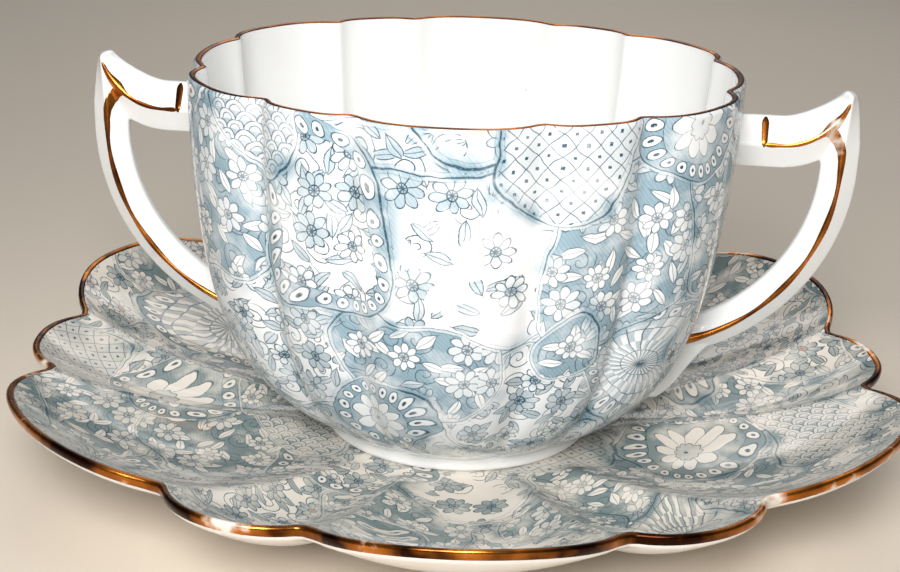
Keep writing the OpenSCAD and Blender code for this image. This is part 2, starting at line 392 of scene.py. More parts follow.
# Painted in this order, each over those before it.
PATCHES = (
    Patch(10, 12, 15, Fill.SCROLLS), Patch(35, 6, 14, Fill.DAISIES), Patch(60, 13, 16, Fill.RESERVED),
    Patch(83, 8, 14, Fill.SPRIGS), Patch(24, 30, 16, Fill.DAISIES), Patch(48, 33, 15, Fill.PLEATS, True),
    Patch(71, 37, 17, Fill.DAISIES), Patch(3, 38, 13, Fill.RESERVED), Patch(13, 59, 15, Fill.SCROLLS),
    Patch(36, 56, 15, Fill.RESERVED), Patch(60, 61, 14, Fill.RESERVED),
    Patch(84, 60, 14, Fill.DAISIES, True), Patch(25, 75, 12, Fill.TRELLIS),
    Patch(49, 76, 12, Fill.ROSETTE, True), Patch(73, 75, 11, Fill.SCALES),
    Patch(91, 24, 10, Fill.ROSETTE, True), Patch(30, 42, 8, Fill.RESERVED),
)

# Flowers, leaves and curls of a patch, in millimetres; each of three scatters gives a point and chances.
SPRAY_LINES = """
tau = 6.2832
crisp = 12
keen = 9
ax = fx - px
ay = fy - py
ar = sqrt(ax * ax + ay * ay)
at = angle(ay, ax) + chance * tau
fold = abs(cos(at * 4))
petal = (2.3 + chance2 * 0.8) * (0.66 + 0.34 * fold)
flower = sat((petal - ar) * crisp)
flower_ink = max(max(sat((0.17 - abs(ar - petal)) * crisp),
                     sat((0.13 - fold * ar * 0.25) * crisp) * flower),
                 max(sat((0.16 - abs(ar - 0.8)) * crisp), sat((0.3 - ar) * keen)))
flower_wash = flower * max(sat(1.25 - ar * 0.55), 0.95 * (chance2 > 0.62))
lx = fx - qx
ly = fy - qy
la = lean * tau
lu = lx * cos(la) + ly * sin(la)
lv = abs(ly * cos(la) - lx * sin(la))
lens = 0.8 * (1 - lu * lu / 4.6) - lv
leaf = sat(lens * crisp)
leaf_ink = max(sat((0.13 - abs(lens)) * crisp) * sat((2.3 - abs(lu)) * keen),
               sat((0.1 - lv) * crisp) * sat((2.6 - abs(lu)) * keen))
sx = fx - rx
sy = fy - ry
sr = sqrt(sx * sx + sy * sy)
coil = fract(sr / 1.3 - angle(sy, sx) / tau + spin)
curl_ink = sat((0.14 - (0.5 - abs(coil - 0.5)) * 1.3) * crisp) * sat((2.7 - sr) * keen)
off_flower = 1 - flower
off_leaf = 1 - leaf
spray_ink = max(flower_ink, off_flower * max(leaf_ink, off_leaf * curl_ink))
"""

# The patches' fills: darkness of the line and of the wash, each from nought to one.
FILL_LINES = """
mesh = 1.7
scale = 1.5
hatch = 0.5 + 0.5 * sin((fx * 0.8 + fy * 0.6) * 11)
few = chance2 > 0.45
ground = off_flower * off_leaf
ink0 = spray_ink
wash0 = flower_wash * 0.6 + off_flower * leaf * 0.55
ink1 = spray_ink * 0.8
wash1 = ground * 0.85 + flower_wash * 0.25
ta = abs(pingpong(fx + fy, mesh))
tb = abs(pingpong(fx - fy, mesh))
ink2 = max(max(sat((0.15 - ta) * keen), sat((0.15 - tb) * keen)),
           sat((0.55 - (mesh - ta) - (mesh - tb)) * keen))
wash2 = 0.3
row = floor(fy / scale)
shove = mod(row, 2) * scale
hx = pingpong(fx + shove, scale)
hy = fy - row * scale
near_d = sqrt(hx * hx + hy * hy)
ink3 = max(sat((0.14 - abs(near_d - scale)) * keen),
           sat((0.12 - abs(near_d - 0.8)) * keen) * (near_d < scale))
wash3 = 0.22 + 0.4 * (near_d > scale)
qr = sqrt(mx * mx + my * my)
qt = angle(my, mx)
pleat = abs(sin(qt * 13)) * qr / 13
ring = abs(pingpong(qr + 0.8, 2.6))
ink4 = max(sat((0.14 - pleat) * keen), sat((0.14 - ring) * keen))
wash4 = 0.55 * (sin(qt * 26) * sin((qr + 0.8) * 1.2083) > 0)
some = lean2 > 0.5
ink5 = max(few * flower_ink, off_flower * max(some * leaf_ink, off_leaf * curl_ink * (spin2 > 0.4)))
wash5 = few * flower_wash * 0.7 + off_flower * some * leaf * 0.5
ink6 = max(leaf_ink, off_leaf * curl_ink)
wash6 = 0.28 + 0.35 * leaf
size = qr - depth
wheel = size * (0.4 + 0.2 * abs(cos(qt * 5)))
inner = size * (0.2 + 0.05 * abs(cos(qt * 5)))
in_wheel = qr < wheel
ink7 = max(max(sat((0.18 - abs(qr - wheel)) * keen), sat((0.15 - abs(qr - inner)) * keen)),
           max(sat((0.12 - abs(cos(qt * 5)) * qr * 0.2) * keen) * in_wheel * (qr > inner),
               sat((0.5 - qr) * 6)))
wash7 = 0.75 * (1 - in_wheel) + 0.35 * (qr < inner)
"""

# Picks each patch's line and wash by its fill.
PICK_LINES = "".join(f"is{k} = same(fill, {k}, 0.4)\n" for k in range(len(Fill))) + "".join(
    f"fill_{kind} = " + " + ".join(f"is{k} * {kind}{k}" for k in range(len(Fill))) + "\n"
    for kind in ("ink", "wash"))

# Beaded borders, outlines and wear, and the darkness that they leave.
EDGE_LINES = """
bead = 1.15
border = 3.5
beads = floor(size * tau / 3.2)
bead_at = (fract(qt * beads / tau) - 0.5) * size * tau / beads
bead_up = depth + 2.0
bead_r = sqrt(bead_at * bead_at + bead_up * bead_up * 0.7)
in_band = beaded * (depth > (0 - border))
band_ink = max(sat((0.16 - abs(bead_r - bead)) * keen),
               max(sat((0.45 - bead_r) * 7), sat((0.14 - abs(depth + border)) * keen)))
band_wash = 0.85 * (bead_r > bead)
line_ink = fill_ink + in_band * (band_ink - fill_ink)
line_wash = fill_wash + in_band * (band_wash - fill_wash)
heavy = sat((swell - 0.45) * 5)
rim_ink = max(sat((0.12 + 0.12 * heavy - edge) * keen),
              0.7 * sat((0.08 - abs(edge - 0.7)) * 10) * (1 - in_band))
rim_shade = sat(1 - edge * 0.3) * sat(swell * 5 - 1.9) * (1 - in_band)
rim_clear = sat((0.6 - edge) * 6) * (1 - in_band)
ink = max(rim_ink, line_ink * (1 - rim_clear * 0.8))
wash = max(line_wash * (1 - rim_clear * 0.5), rim_shade * 0.95)
breaks = sat((grain - 0.3) * 7)
worn = sat(cloud * 3 - 0.72)
shade = ink * (0.5 + 0.5 * worn) * (0.6 + 0.4 * breaks)
tone = sat(wash * (0.2 + worn) * (0.86 + 0.14 * hatch) + plate * (0.4 + cloud))
warm = is0 * (chance > 0.9) * sat((0.6 - ar) * 5) * 0.8
"""


@dataclass(frozen=True)
class Scatter:
    """Loosely spaced points for one kind of motif, in millimetres, with their names in the formulas."""

    names: tuple[str, str, str, str]
    gap: float
    loose: float
    shift: tuple[float, float, float]


SCATTERS = (
    Scatter(("px", "py", "chance", "chance2"), 7.2, 0.6, (0.0, 0.0, 0.0)),
    Scatter(("qx", "qy", "lean", "lean2"), 3.9, 0.9, (11.0, 7.7, 0.0)),
    Scatter(("rx", "ry", "spin", "spin2"), 6.6, 0.5, (23.0, 16.1, 0.0)),
)

# Noises that wear the print: name, scale to a millimetre and detail.
WEAR_NOISES = (("cloud", 0.16, 3.0), ("swell", 0.09, 1.0), ("grain", 2.4, 2.0))

# Lays one patch over those below it.
PATCH_LINES = """
deep = far - radius
inside = deep < 0
edge = min(edge + inside * 99, abs(deep))
depth = depth + inside * (deep - depth)
fill = fill + inside * (own_fill - fill)
beaded = beaded + inside * (own_beads - beaded)
"""


@dataclass(frozen=True)
class TransferPrint:
    """Tissue-transfer print under the glaze: a patchwork of slate-blue line and pale blue-grey wash."""

    china: BoneChina
    name: str
    tile: tuple[float, float]
    plate: float
    body: str
    wash: str
    ink: str = "#2f4f60"
    coral: str = "#cf8f72"
    waver_scale: float = 0.28
    waver: float = 0.9
    bend_scale: float = 0.05
    bend: float = 14.0
    home_shift: tuple[float, float, float] = (2.13, 1.71, 0.0)
    tile_shift: tuple[float, float, float] = (0.37, 0.53, 0.0)

    def material(self) -> bpy.types.Material:
        """Builds the printed finish.

        Returns:
            The material.
        """
        mat = new_material(self.name)
        tree = mat.node_tree
        place = add(tree, "ShaderNodeTexCoord")["Object"]
        got = self.drawing(tree)
        washed = mix(tree, got["tone"], self.body, self.wash)
        lined = mix(tree, got["shade"], washed, self.ink)
        self.china.glaze(tree, mix(tree, got["warm"], lined, self.coral), place)
        return mat

    def drawing(self, tree: bpy.types.NodeTree) -> dict[str, Any]:
        """Draws the patchwork.

        Args:
            tree: The material's tree.

        Returns:
            The drawing's sockets by name.
        """
        flat = add(tree, "ShaderNodeUVMap", uv_map=PRINT_MAP)[0]
        sway = flat_noise(tree, flat, self.waver_scale, 1.0)["Color"]
        bent = vector(tree, "MULTIPLY_ADD", sway, (self.waver, self.waver, 0.0), flat)
        drift = flat_noise(tree, flat, self.bend_scale, 0.5)["Color"]
        pull = vector(tree, "MULTIPLY", drift, (self.bend, self.bend, 0.0))
        sheet = vector(tree, "ADD", bent, pull)
        at, home, edge, depth, fill, beaded = self.patchwork(tree, sheet)
        known: dict[str, Any] = {"edge": edge, "depth": depth, "fill": fill, "beaded": beaded,
                                 "plate": self.plate}
        # Each patch, and each copy of the tile, gets its own part of the scatters.
        even = vector(tree, "SUBTRACT", at, pull)
        spread = vector(tree, "MULTIPLY_ADD", home, self.home_shift, even)
        span = (3 * self.tile[0], 3 * self.tile[1], 1.0)
        copy = vector(tree, "WRAP", vector(tree, "SUBTRACT", sheet, at), span, (0.0, 0.0, -1.0))
        own = vector(tree, "MULTIPLY_ADD", copy, self.tile_shift, spread)
        for names, socket in ((("fx", "fy"), own), (("mx", "my"), at)):
            known.update(zip(names, add(tree, "ShaderNodeSeparateXYZ", {0: socket})))
        for scatter in SCATTERS:
            moved = vector(tree, "ADD", own, scatter.shift)
            cells = add(tree, "ShaderNodeTexVoronoi", {"Vector": moved, "Scale": 1 / scatter.gap,
                                                       "Randomness": scatter.loose}, voronoi_dimensions="2D")
            back = vector(tree, "SUBTRACT", cells["Position"], scatter.shift)
            point = add(tree, "ShaderNodeSeparateXYZ", {0: back})
            luck = add(tree, "ShaderNodeSeparateColor", {0: cells["Color"]})
            known.update(zip(scatter.names, (point[0], point[1], luck[0], luck[1])))
        for name, scale, detail in WEAR_NOISES:
            known[name] = flat_noise(tree, flat, scale, detail)["Fac"]
        return formula(tree, SPRAY_LINES + FILL_LINES + PICK_LINES + EDGE_LINES, known)

    def patchwork(self, tree: bpy.types.NodeTree, sheet: Any) -> tuple[Any, ...]:
        """Lays the patches over one another.

        Args:
            tree: The material's tree.
            sheet: Socket with the place on the sheet in millimetres.

        Returns:
            Sockets of the place in the top patch, the patch's middle, the distance to the nearest
            outline, the depth inside the patch, its fill and whether it has a beaded border.
        """
        half = (self.tile[0] / 2, self.tile[1] / 2, 1.0)
        at: Any = sheet
        home: Any = (0.0, 0.0, 0.0)
        got: dict[str, Any] = {"edge": 9.0, "depth": -9.0, "fill": float(Fill.SPRIGS), "beaded": 0.0}
        for patch in PATCHES:
            middle = (patch.x, patch.y, 0.0)
            away = vector(tree, "SUBTRACT", sheet, middle)
            local = vector(tree, "WRAP", away, half, tuple(-h for h in half))
            far = add(tree, "ShaderNodeVectorMath", {0: local}, operation="LENGTH")["Value"]
            got.update(far=far, radius=patch.radius)
            got.update(own_fill=float(patch.fill), own_beads=float(patch.beaded))
            got = formula(tree, PATCH_LINES, got)
            at, home = (add(tree, "ShaderNodeMix", {"Factor": got["inside"], 4: below, 5: above},
                            data_type="VECTOR")[1] for below, above in ((at, local), (home, middle)))
        return at, home, got["edge"], got["depth"], got["fill"], got["beaded"]


@dataclass(frozen=True)
class Finishes:
    """The materials that the pieces wear."""

    china: bpy.types.Material
    cup_print: bpy.types.Material
    saucer_print: bpy.types.Material
    gilding: bpy.types.Material
    rubbed_gilding: bpy.types.Material


def show(made: bpy.types.Object) -> bpy.types.Object:
    """Puts an object in the scene."""
    bpy.context.scene.collection.objects.link(made)
    return made


def named_field(tree: bpy.types.NodeTree, name: str) -> Any:
    """Gives the socket of a field that a mesh's points carry."""
    return add(tree, "GeometryNodeInputNamedAttribute", {"Name": name}, data_type="FLOAT")[0]


def close_tree(tree: bpy.types.NodeTree, geometry: Any, material: Any) -> None:
    """Ends a tree of geometry nodes with real geometry that wears a material.

    Args:
        tree: The tree to end.
        geometry: Socket with the geometry so far.
        material: Socket with the material.
    """
    real = add(tree, "GeometryNodeRealizeInstances", {0: geometry})[0]
    dressed = add(tree, "GeometryNodeSetMaterial", {"Geometry": real, "Material": material})[0]
    add(tree, "NodeGroupOutput", {0: dressed})


@dataclass
class ShapeRule:
    """Geometry nodes that move a flat grid to the shape that a rule in millimetres gives.

    The grid's points carry the rule's fields, and the sizes are the tree's named inputs.
    """

    name: str
    fields: Sequence[str]
    sizes: dict[str, float]
    lines: str
    tree: Any = field(init=False)
    sockets: dict[str, str] = field(init=False, default_factory=dict)

    def __post_init__(self) -> None:
        """Builds the tree."""
        self.tree = bpy.data.node_groups.new(self.name, "GeometryNodeTree")
        face = self.tree.interface
        face.new_socket("Geometry", in_out="OUTPUT", socket_type="NodeSocketGeometry")
        face.new_socket("Geometry", in_out="INPUT", socket_type="NodeSocketGeometry")
        for size in self.sizes:
            label = size.replace("_", " ").title()
            made = face.new_socket(label, in_out="INPUT", socket_type="NodeSocketFloat")
            self.sockets[size] = made.identifier
        self.sockets["material"] = face.new_socket("Material", in_out="INPUT",
                                                   socket_type="NodeSocketMaterial").identifier
        given = add(self.tree, "NodeGroupInput")
        known = {size: given[1 + k] for k, size in enumerate(self.sizes)}
        known.update({name: named_field(self.tree, name) for name in self.fields})
        got = formula(self.tree, self.lines, known)
        at = add(self.tree, "ShaderNodeCombineXYZ", {axis.upper(): got[axis] for axis in "xyz"})[0]
        metres = add(self.tree, "ShaderNodeVectorMath", {0: at, "Scale": MM}, operation="SCALE")[0]
        moved = add(self.tree, "GeometryNodeSetPosition", {"Geometry": given[0], "Position": metres})[0]
        close_tree(self.tree, moved, given[len(self.sizes) + 1])

    def shape(self, name: str, grid: bpy.types.Mesh, material: bpy.types.Material) -> bpy.types.Object:
        """Runs the rule on a grid.

        Args:
            name: The piece's name.
            grid: The flat grid with its fields.
            material: The finish that the piece wears.

        Returns:
            A plain mesh object at the origin.
        """
        source = show(bpy.data.objects.new(name + ".grid", grid))
        rule = source.modifiers.new(self.name, "NODES")
        rule.node_group = self.tree
        for size, value in self.sizes.items():
            rule[self.sockets[size]] = float(value)
        rule[self.sockets["material"]] = material
        graph = bpy.context.evaluated_depsgraph_get()
        mesh = bpy.data.meshes.new_from_object(source.evaluated_get(graph), preserve_all_data_layers=True,
                                               depsgraph=graph)
        source.modifiers.remove(rule)
        bpy.data.objects.remove(source)
        bpy.data.meshes.remove(grid)
        return piece(name, mesh)


def piece(name: str, mesh: bpy.types.Mesh) -> bpy.types.Object:
    """Puts a mesh in the scene as a smooth-shaded object at the origin.

    Args:
        name: The object's name.
        mesh: Its mesh.

    Returns:
        The object.
    """
    mesh.name = name
    mesh.polygons.foreach_set("use_smooth", np.ones(len(mesh.polygons), bool))
    return show(bpy.data.objects.new(name, mesh))


def carry(mesh: bpy.types.Mesh, name: str, values: Any) -> None:
    """Lets a mesh's points carry a field."""
    data = mesh.attributes.new(name, "FLOAT", "POINT").data
    data.foreach_set("value", np.asarray(values, np.float32).ravel())


def grid_mesh(name: str, fields: dict[str, np.ndarray], closed: bool,
              maps: dict[str, np.ndarray] | None = None) -> bpy.types.Mesh:
    """Makes a grid of quads whose points carry fields.

    Args:
        name: The mesh's name.
        fields: Arrays of one shape, rows by columns.
        closed: Whether the last column joins the first.
        maps: UV maps by name, each rows by columns by two.

    Returns:
        The mesh, with its points still at the origin.
    """
    rows, cols = next(iter(fields.values())).shape
    span = cols if closed else cols - 1
    j, i = np.meshgrid(np.arange(rows - 1), np.arange(span), indexing="ij")
    right = (i + 1) % cols
    low, high = j * cols, (j + 1) * cols
    quads = np.stack([low + i, low + right, high + right, high + i], -1).reshape(-1, 4)
    mesh = bpy.data.meshes.new(name)
    mesh.from_pydata(np.zeros((rows * cols, 3)).tolist(), [], quads.tolist())
    for key, values in fields.items():
        carry(mesh, key, values)
    for key, places in (maps or {}).items():
        layer = mesh.uv_layers.new(name=key)
        layer.uv.foreach_set("vector", places.reshape(-1, 2)[quads.ravel()].astype(np.float32).ravel())
    return mesh


def close_shell(made: bpy.types.Object) -> bpy.types.Object:
    """Merges the poles of a shell and turns its faces outwards.

    Args:
        made: The shell.

    Returns:
        The same object.
    """
    work = bmesh.new()
    work.from_mesh(made.data)
    bmesh.ops.remove_doubles(work, verts=work.verts, dist=MERGE * MM)
    bmesh.ops.dissolve_degenerate(work, edges=work.edges, dist=SLIVER * MM)
    bmesh.ops.recalc_face_normals(work, faces=work.faces)
    work.to_mesh(made.data)
    work.free()
    return made


def join_normals(panels: Sequence[bpy.types.Object]) -> None:
    """Gives neighbouring panels of a sheet shared normals along the edges where they meet.

    Args:
        panels: Panels in order round the axis, with outward faces.
    """
    normals: list[np.ndarray] = []
    sums: dict[tuple[int, int, int], np.ndarray] = {}
    keys: list[list[tuple[int, int, int]]] = []
    for panel in panels:
        mesh = panel.data
        own = np.empty(len(mesh.vertices) * 3)
        spots = np.empty(len(mesh.vertices) * 3)
        mesh.vertex_normals.foreach_get("vector", own)
        mesh.vertices.foreach_get("co", spots)
        normals.append(own.reshape(-1, 3))
        keys.append([tuple(k) for k in np.round(spots.reshape(-1, 3) / (SAME_SPOT * MM)).astype(int)])
        for key, normal in zip(keys[-1], normals[-1]):
            sums[key] = sums.get(key, 0) + normal
    for panel, names in zip(panels, keys):
        shared = np.array([sums[k] for k in names])
        shared /= np.linalg.norm(shared, axis=1, keepdims=True)
        panel.data.normals_split_custom_set_from_vertices(shared.tolist())


@dataclass(frozen=True)
class Lobes:
    """The lobes of a fluted outline, in degrees: front and back, narrow ones beside them, and the sides."""

    front: float
    narrow: float
    side: float
    turn: float
    soft: float
    side_bulge: float = 1.0
    steps: int = 24

    def edges(self) -> np.ndarray:
        """Gives the edges between the lobes.

        Returns:
            Their directions in degrees from the front, the first one again at the end.
        """
        q = [self.front / 2, self.front / 2 + self.narrow, 90 - self.side / 2]
        half = q + [180 - v for v in reversed(q)]
        return np.array(half + [v + 180 for v in half] + [half[0] + 360])

    def soften(self, t: np.ndarray) -> np.ndarray:
        """Rounds off the place across a lobe towards its edges, so that creases have no sharp line.

        Args:
            t: Places across, from minus one to one.

        Returns:
            The places, rounded off.
        """
        s = np.clip((np.abs(t) - (1 - self.soft)) / self.soft, 0, 1)
        eased = np.minimum(np.abs(t), 1 - self.soft) + self.soft * (s - s * s / 2)
        return np.sign(t) * eased / (1 - self.soft / 2)

    def shares(self) -> np.ndarray:
        """Gives each lobe's share of the full bulge, by its width and whether it is at a side.

        Returns:
            A share for each lobe.
        """
        wide = np.diff(self.edges())
        at_side = np.arange(LOBE_COUNT) % (LOBE_COUNT // 2) == SIDE_LOBE
        return wide / wide.max() * np.where(at_side, self.side_bulge, 1.0)

    def columns(self, lobe: int | None = None) -> dict[str, np.ndarray]:
        """Gives the fields of the directions round the axis.

        Args:
            lobe: One lobe alone, with its last edge, or None for all of them.

        Returns:
            Direction in radians, share of the full bulge and softened place across.
        """
        edges, shares = self.edges(), self.shares()
        t = np.linspace(-1, 1, self.steps + 1)[: self.steps if lobe is None else None]
        got: dict[str, list[np.ndarray]] = {"direction": [], "bulge": [], "across": []}
        for k in range(LOBE_COUNT) if lobe is None else [lobe]:
            middle, half = (edges[k] + edges[k + 1]) / 2, (edges[k + 1] - edges[k]) / 2
            got["direction"].append(np.radians(middle + t * half + self.turn))
            got["bulge"].append(np.full(len(t), shares[k]))
            got["across"].append(self.soften(t))
        return {key: np.concatenate(parts) for key, parts in got.items()}

    def ring(self, rule: ShapeRule, name: str, rows: dict[str, np.ndarray],
             material: bpy.types.Material) -> bpy.types.Object:
        """Runs a rule on rows that go all the way round.

        Args:
            rule: The rule that gives the shape.
            name: The piece's name.
            rows: The fields of the rows.
            material: The finish that the piece wears.

        Returns:
            The piece.
        """
        grid = spread_rows(self.columns(), rows)
        return rule.shape(name, grid_mesh(name + ".grid", grid, True), material)


def spread_rows(columns: dict[str, np.ndarray], rows: dict[str, np.ndarray]) -> dict[str, np.ndarray]:
    """Spreads fields of columns and of rows over a whole grid.

    Args:
        columns: Fields with a value for each column.
        rows: Fields with a value for each row.

    Returns:
        The fields, rows by columns.
    """
    count, width = len(next(iter(rows.values()))), len(next(iter(columns.values())))
    grid = {key: np.tile(values, (count, 1)) for key, values in columns.items()}
    grid.update({key: np.tile(values[:, None], (1, width)) for key, values in rows.items()})
    return grid


# The dish: petals out from the well, with a crest along each edge between them.
DISH_LINES = """
lobe = rim - notch * (1 - bulge * (1 - abs(across) ** fullness))
radius = well * (1 + min(share, 0)) + max(share, 0) * (lobe - well) + out
place = max(radius - well, 0) / (rim - well)
crest = ridge * place ** ridge_curve * (1 - ridge_fall * place)
z = well_height + (rim_height - well_height) * place ** curve + crest * across * across - drop
x = radius * sin(direction)
y = 0 - radius * cos(direction)
"""


@dataclass
class Saucer:
    """The petal-edged saucer, in millimetres."""

    rim: float = 80.0
    rim_height: float = 23.0
    notch: float = 8.3
    fullness: float = 2.4
    ridge: float = 9.0
    ridge_curve: float = 0.8
    ridge_fall: float = 0.8
    curve: float = 2.75
    wall: float = 2.6
    lip: float = 1.15
    lip_draw: int = 8
    thin_share: float = 0.4
    well: float = 27.0
    well_height: float = 5.5
    foot_width: float = 3.4
    film: float = 0.03
    band: float = 1.2
    band_lap: float = 0.1
    band_proud: float = 0.07
    band_out: float = 0.05
    band_arc: tuple[float, float] = (-20.0, 128.0)
    lobes: Lobes = Lobes(37, 20, 20.5, 7.9, 0.09)

    def rule(self) -> ShapeRule:
        """Builds the rule that gives the dish its petals.

        Returns:
            The rule.
        """
        sizes = ("rim", "rim_height", "notch", "fullness", "ridge", "ridge_curve", "ridge_fall", "curve",
                 "well", "well_height")
        return ShapeRule("petal_dish", ("direction", "bulge", "across", "share", "out", "drop"),
                         {size: getattr(self, size) for size in sizes}, DISH_LINES)

    def drawn_in(self, share: np.ndarray, length: float) -> np.ndarray:
        """Gives how far rows move, which are drawn in by a length at the lip and less before it."""
        return -length * np.clip(share, 0, 1) ** self.lip_draw

    def shell_rows(self) -> dict[str, np.ndarray]:
        """Gives the rows from the middle of the upper face round the lip to that of the lower face.

        Returns:
            The fields of the rows.
        """
        top = np.concatenate([np.linspace(-1, 0, 8)[:-1], np.linspace(0, 1, 56)])
        turn = np.radians(np.linspace(0, 180, 13))[1:-1]
        under = np.concatenate([np.linspace(1, 0, 40), np.linspace(0, -1, 8)[1:]])
        thick = 2 * self.lip + (self.wall - 2 * self.lip) * np.clip((1 - under) / self.thin_share, 0, 1)
        return {
            "share": np.concatenate([top, np.ones(len(turn)), under]),
            "out": np.concatenate([self.drawn_in(top, self.lip), self.lip * (np.sin(turn) - 1),
                                   self.drawn_in(under, self.lip)]),
            "drop": np.concatenate([np.zeros(len(top)), self.lip * (1 - np.cos(turn)), thick]),
        }

    def band_rows(self) -> dict[str, np.ndarray]:
        """Gives the rows of the gilt band, from the upper face over the lip.

        Returns:
            The fields of the rows.
        """
        turn = np.radians(np.linspace(*self.band_arc, 12))
        over = turn.clip(0)
        inner = np.linspace(self.band, self.lip, 6)[:-1]
        return {
            "share": np.ones(len(inner) + len(turn)),
            "out": np.concatenate([-inner, self.lip * (np.sin(over) - 1) + self.band_out * (turn > 0)]),
            "drop": np.concatenate([np.full(len(inner), -self.band_proud),
                                    self.lip * (1 - np.cos(over)) - self.band_proud * np.cos(turn)]),
        }

    def build(self, wear: Finishes) -> None:
        """Makes the saucer's pieces and hands them to the saucer's body.

        Args:
            wear: The finishes.
        """
        rule = self.rule()
        dish = self.lobes.ring(rule, "saucer_china", self.shell_rows(), wear.china)
        hand_over(close_shell(dish), "saucer", "printed_china", "saucer_dish")
        self.build_print(rule, wear)
        band = self.lobes.ring(rule, "saucer_gilt_band", self.band_rows(), wear.rubbed_gilding)
        hand_over(face_up(band, UP), "saucer", "gilding", "saucer_rim_gilding")
        top = self.well_height - self.wall
        ring = foot_ring("saucer_foot", self.well, self.foot_width, 0.0, top, wear.china)
        hand_over(ring, "saucer", "white_china", "saucer_foot_ring")

    def build_print(self, rule: ShapeRule, wear: Finishes) -> None:
        """Lays the transfer print on the petals, a sheet to each.

        Args:
            rule: The rule that gives the shape under the print.
            wear: The finishes.
        """
        share = np.concatenate([np.linspace(-1, 0, 12)[:-1], np.linspace(0, 1, 52)])
        rows = {"share": share, "drop": np.full(len(share), -self.film),
                "out": self.drawn_in(share, self.band - self.band_lap)}
        radius = np.where(share < 0, self.well * (1 + share), self.well + share * (self.rim - self.well))
        sheets = []
        for lobe in range(LOBE_COUNT):
            grid = spread_rows(self.lobes.columns(lobe), rows)
            turned = grid["direction"]
            flat = np.stack([radius[:, None] * np.sin(turned), -radius[:, None] * np.cos(turned)], -1)
            name = f"saucer_print_{lobe + 1:02d}"
            sheets.append(print_sheet(name, rule, grid, flat, wear.saucer_print, UP))
        hand_over_print(sheets, "saucer")


def unit_map(rows: int, cols: int) -> np.ndarray:
    """Gives a grid its own map of the whole unit square."""
    v, u = (np.linspace(MAP_MARGIN, 1 - MAP_MARGIN, count) for count in (rows, cols))
    return np.stack(np.meshgrid(u, v), -1)


def face_up(made: bpy.types.Object, way: Vector | None) -> bpy.types.Object:
    """Turns an open sheet's faces to one side.

    Args:
        made: The sheet.
        way: Where they look, or None for away from the axis.

    Returns:
        The same sheet.
    """
    total = 0.0
    for face in made.data.polygons:
        total += face.area * face.normal.dot(way or Vector((face.center.x, face.center.y, 0)))
    if total < 0:
        made.data.flip_normals()
    return made


def print_sheet(name: str, rule: ShapeRule, grid: dict[str, np.ndarray], flat: np.ndarray,
                material: bpy.types.Material, way: Vector | None) -> bpy.types.Object:
    """Makes the sheet of print that lies on one lobe.

    Args:
        name: The sheet's name.
        rule: The rule that gives it its shape.
        grid: The fields of its points.
        flat: Their places on the print in millimetres.
        material: The print.
        way: Where its faces look, or None for away from the axis.

    Returns:
        The sheet.
    """
    maps = {PRINT_MAP: flat, BAKE_MAP: unit_map(*flat.shape[:2])}
    return face_up(rule.shape(name, grid_mesh(name + ".grid", grid, False, maps), material), way)


def hand_over_print(sheets: Sequence[bpy.types.Object], body: str) -> None:
    """Joins the normals of sheets of print and lets them ride on a body.

    Args:
        sheets: The sheets, in order round the axis.
        body: The body's name.
    """
    join_normals(sheets)
    for sheet in sheets:
        hand_over(sheet, body, "printed_china")


def foot_ring(name: str, radius: float, width: float, low: float, high: float,
              material: bpy.types.Material) -> bpy.types.Object:
    """Turns a foot ring with rounded treads.

    Args:
        name: The piece's name.
        radius: Outer radius in millimetres.
        width: Width of the ring.
        low: Height of its tread.
        high: Height where it meets the body.
        material: Its finish.

    Returns:
        The ring, a closed mesh.
    """
    soft = min(width * FOOT_ROUND, (high - low) * FOOT_RISE)
    splay, sunk, neck = FOOT_SPLAY, FOOT_SUNK, FOOT_NECK
    turn = np.radians(np.linspace(0, 90, 6))
    outline = [(radius + splay, high + sunk), (radius, high - neck)]
    outline += [(radius - soft + soft * math.cos(a), low + soft - soft * math.sin(a)) for a in turn]
    outline += [(radius - width + soft - soft * math.sin(a), low + soft - soft * math.cos(a)) for a in turn]
    outline += [(radius - width, high - neck), (radius - width - splay, high + sunk)]
    around = np.linspace(0, 2 * math.pi, 161)[:-1]
    spots = [(r * math.cos(a) * MM, r * math.sin(a) * MM, z * MM) for r, z in outline for a in around]
    n, rows = len(around), len(outline)
    faces = [(j * n + i, j * n + (i + 1) % n, (j + 1) % rows * n + (i + 1) % n, (j + 1) % rows * n + i)
             for j in range(rows) for i in range(n)]
    mesh = bpy.data.meshes.new(name)
    mesh.from_pydata(spots, [], faces)
    mesh.materials.append(material)
    return close_shell(piece(name, mesh))


def hand_over(made: bpy.types.Object, body: str, slot: str, *nodes: str) -> None:
    """Lets a piece ride on a body and hides the CAD nodes that it stands for.

    Args:
        made: The piece.
        body: The body's name.
        slot: The slot's name; not used.
        *nodes: The CAD nodes that it stands for, if any.
    """
    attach(made, body)
    if nodes:
        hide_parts(*nodes)
    log.info("%s: %d faces on %s", made.name, len(made.data.polygons), body)


# The bowl: a belly that rises from the foot and a flare above it, creased between the flutes.
BOWL_LINES = """
belly = exp(0 - high / belly_height)
swell = rim - flare - foot
left = max(1 - high / bowl_height, 0)
profile = foot + swell * (1 - belly) + flare * (1 - left ** flare_curve)
depth = crease * (1 - exp(0 - high / fade))
lobe = profile - depth * (1 - bulge * (1 - abs(across) ** fullness))
slope = swell / belly_height * belly + flare * flare_curve / bowl_height * left ** (flare_curve - 1)
lean = sqrt(1 + slope * slope)
radius = max(lobe - inset / lean, 0)
x = radius * sin(direction)
y = 0 - radius * cos(direction)
z = foot_top + high + inset * slope / lean
"""


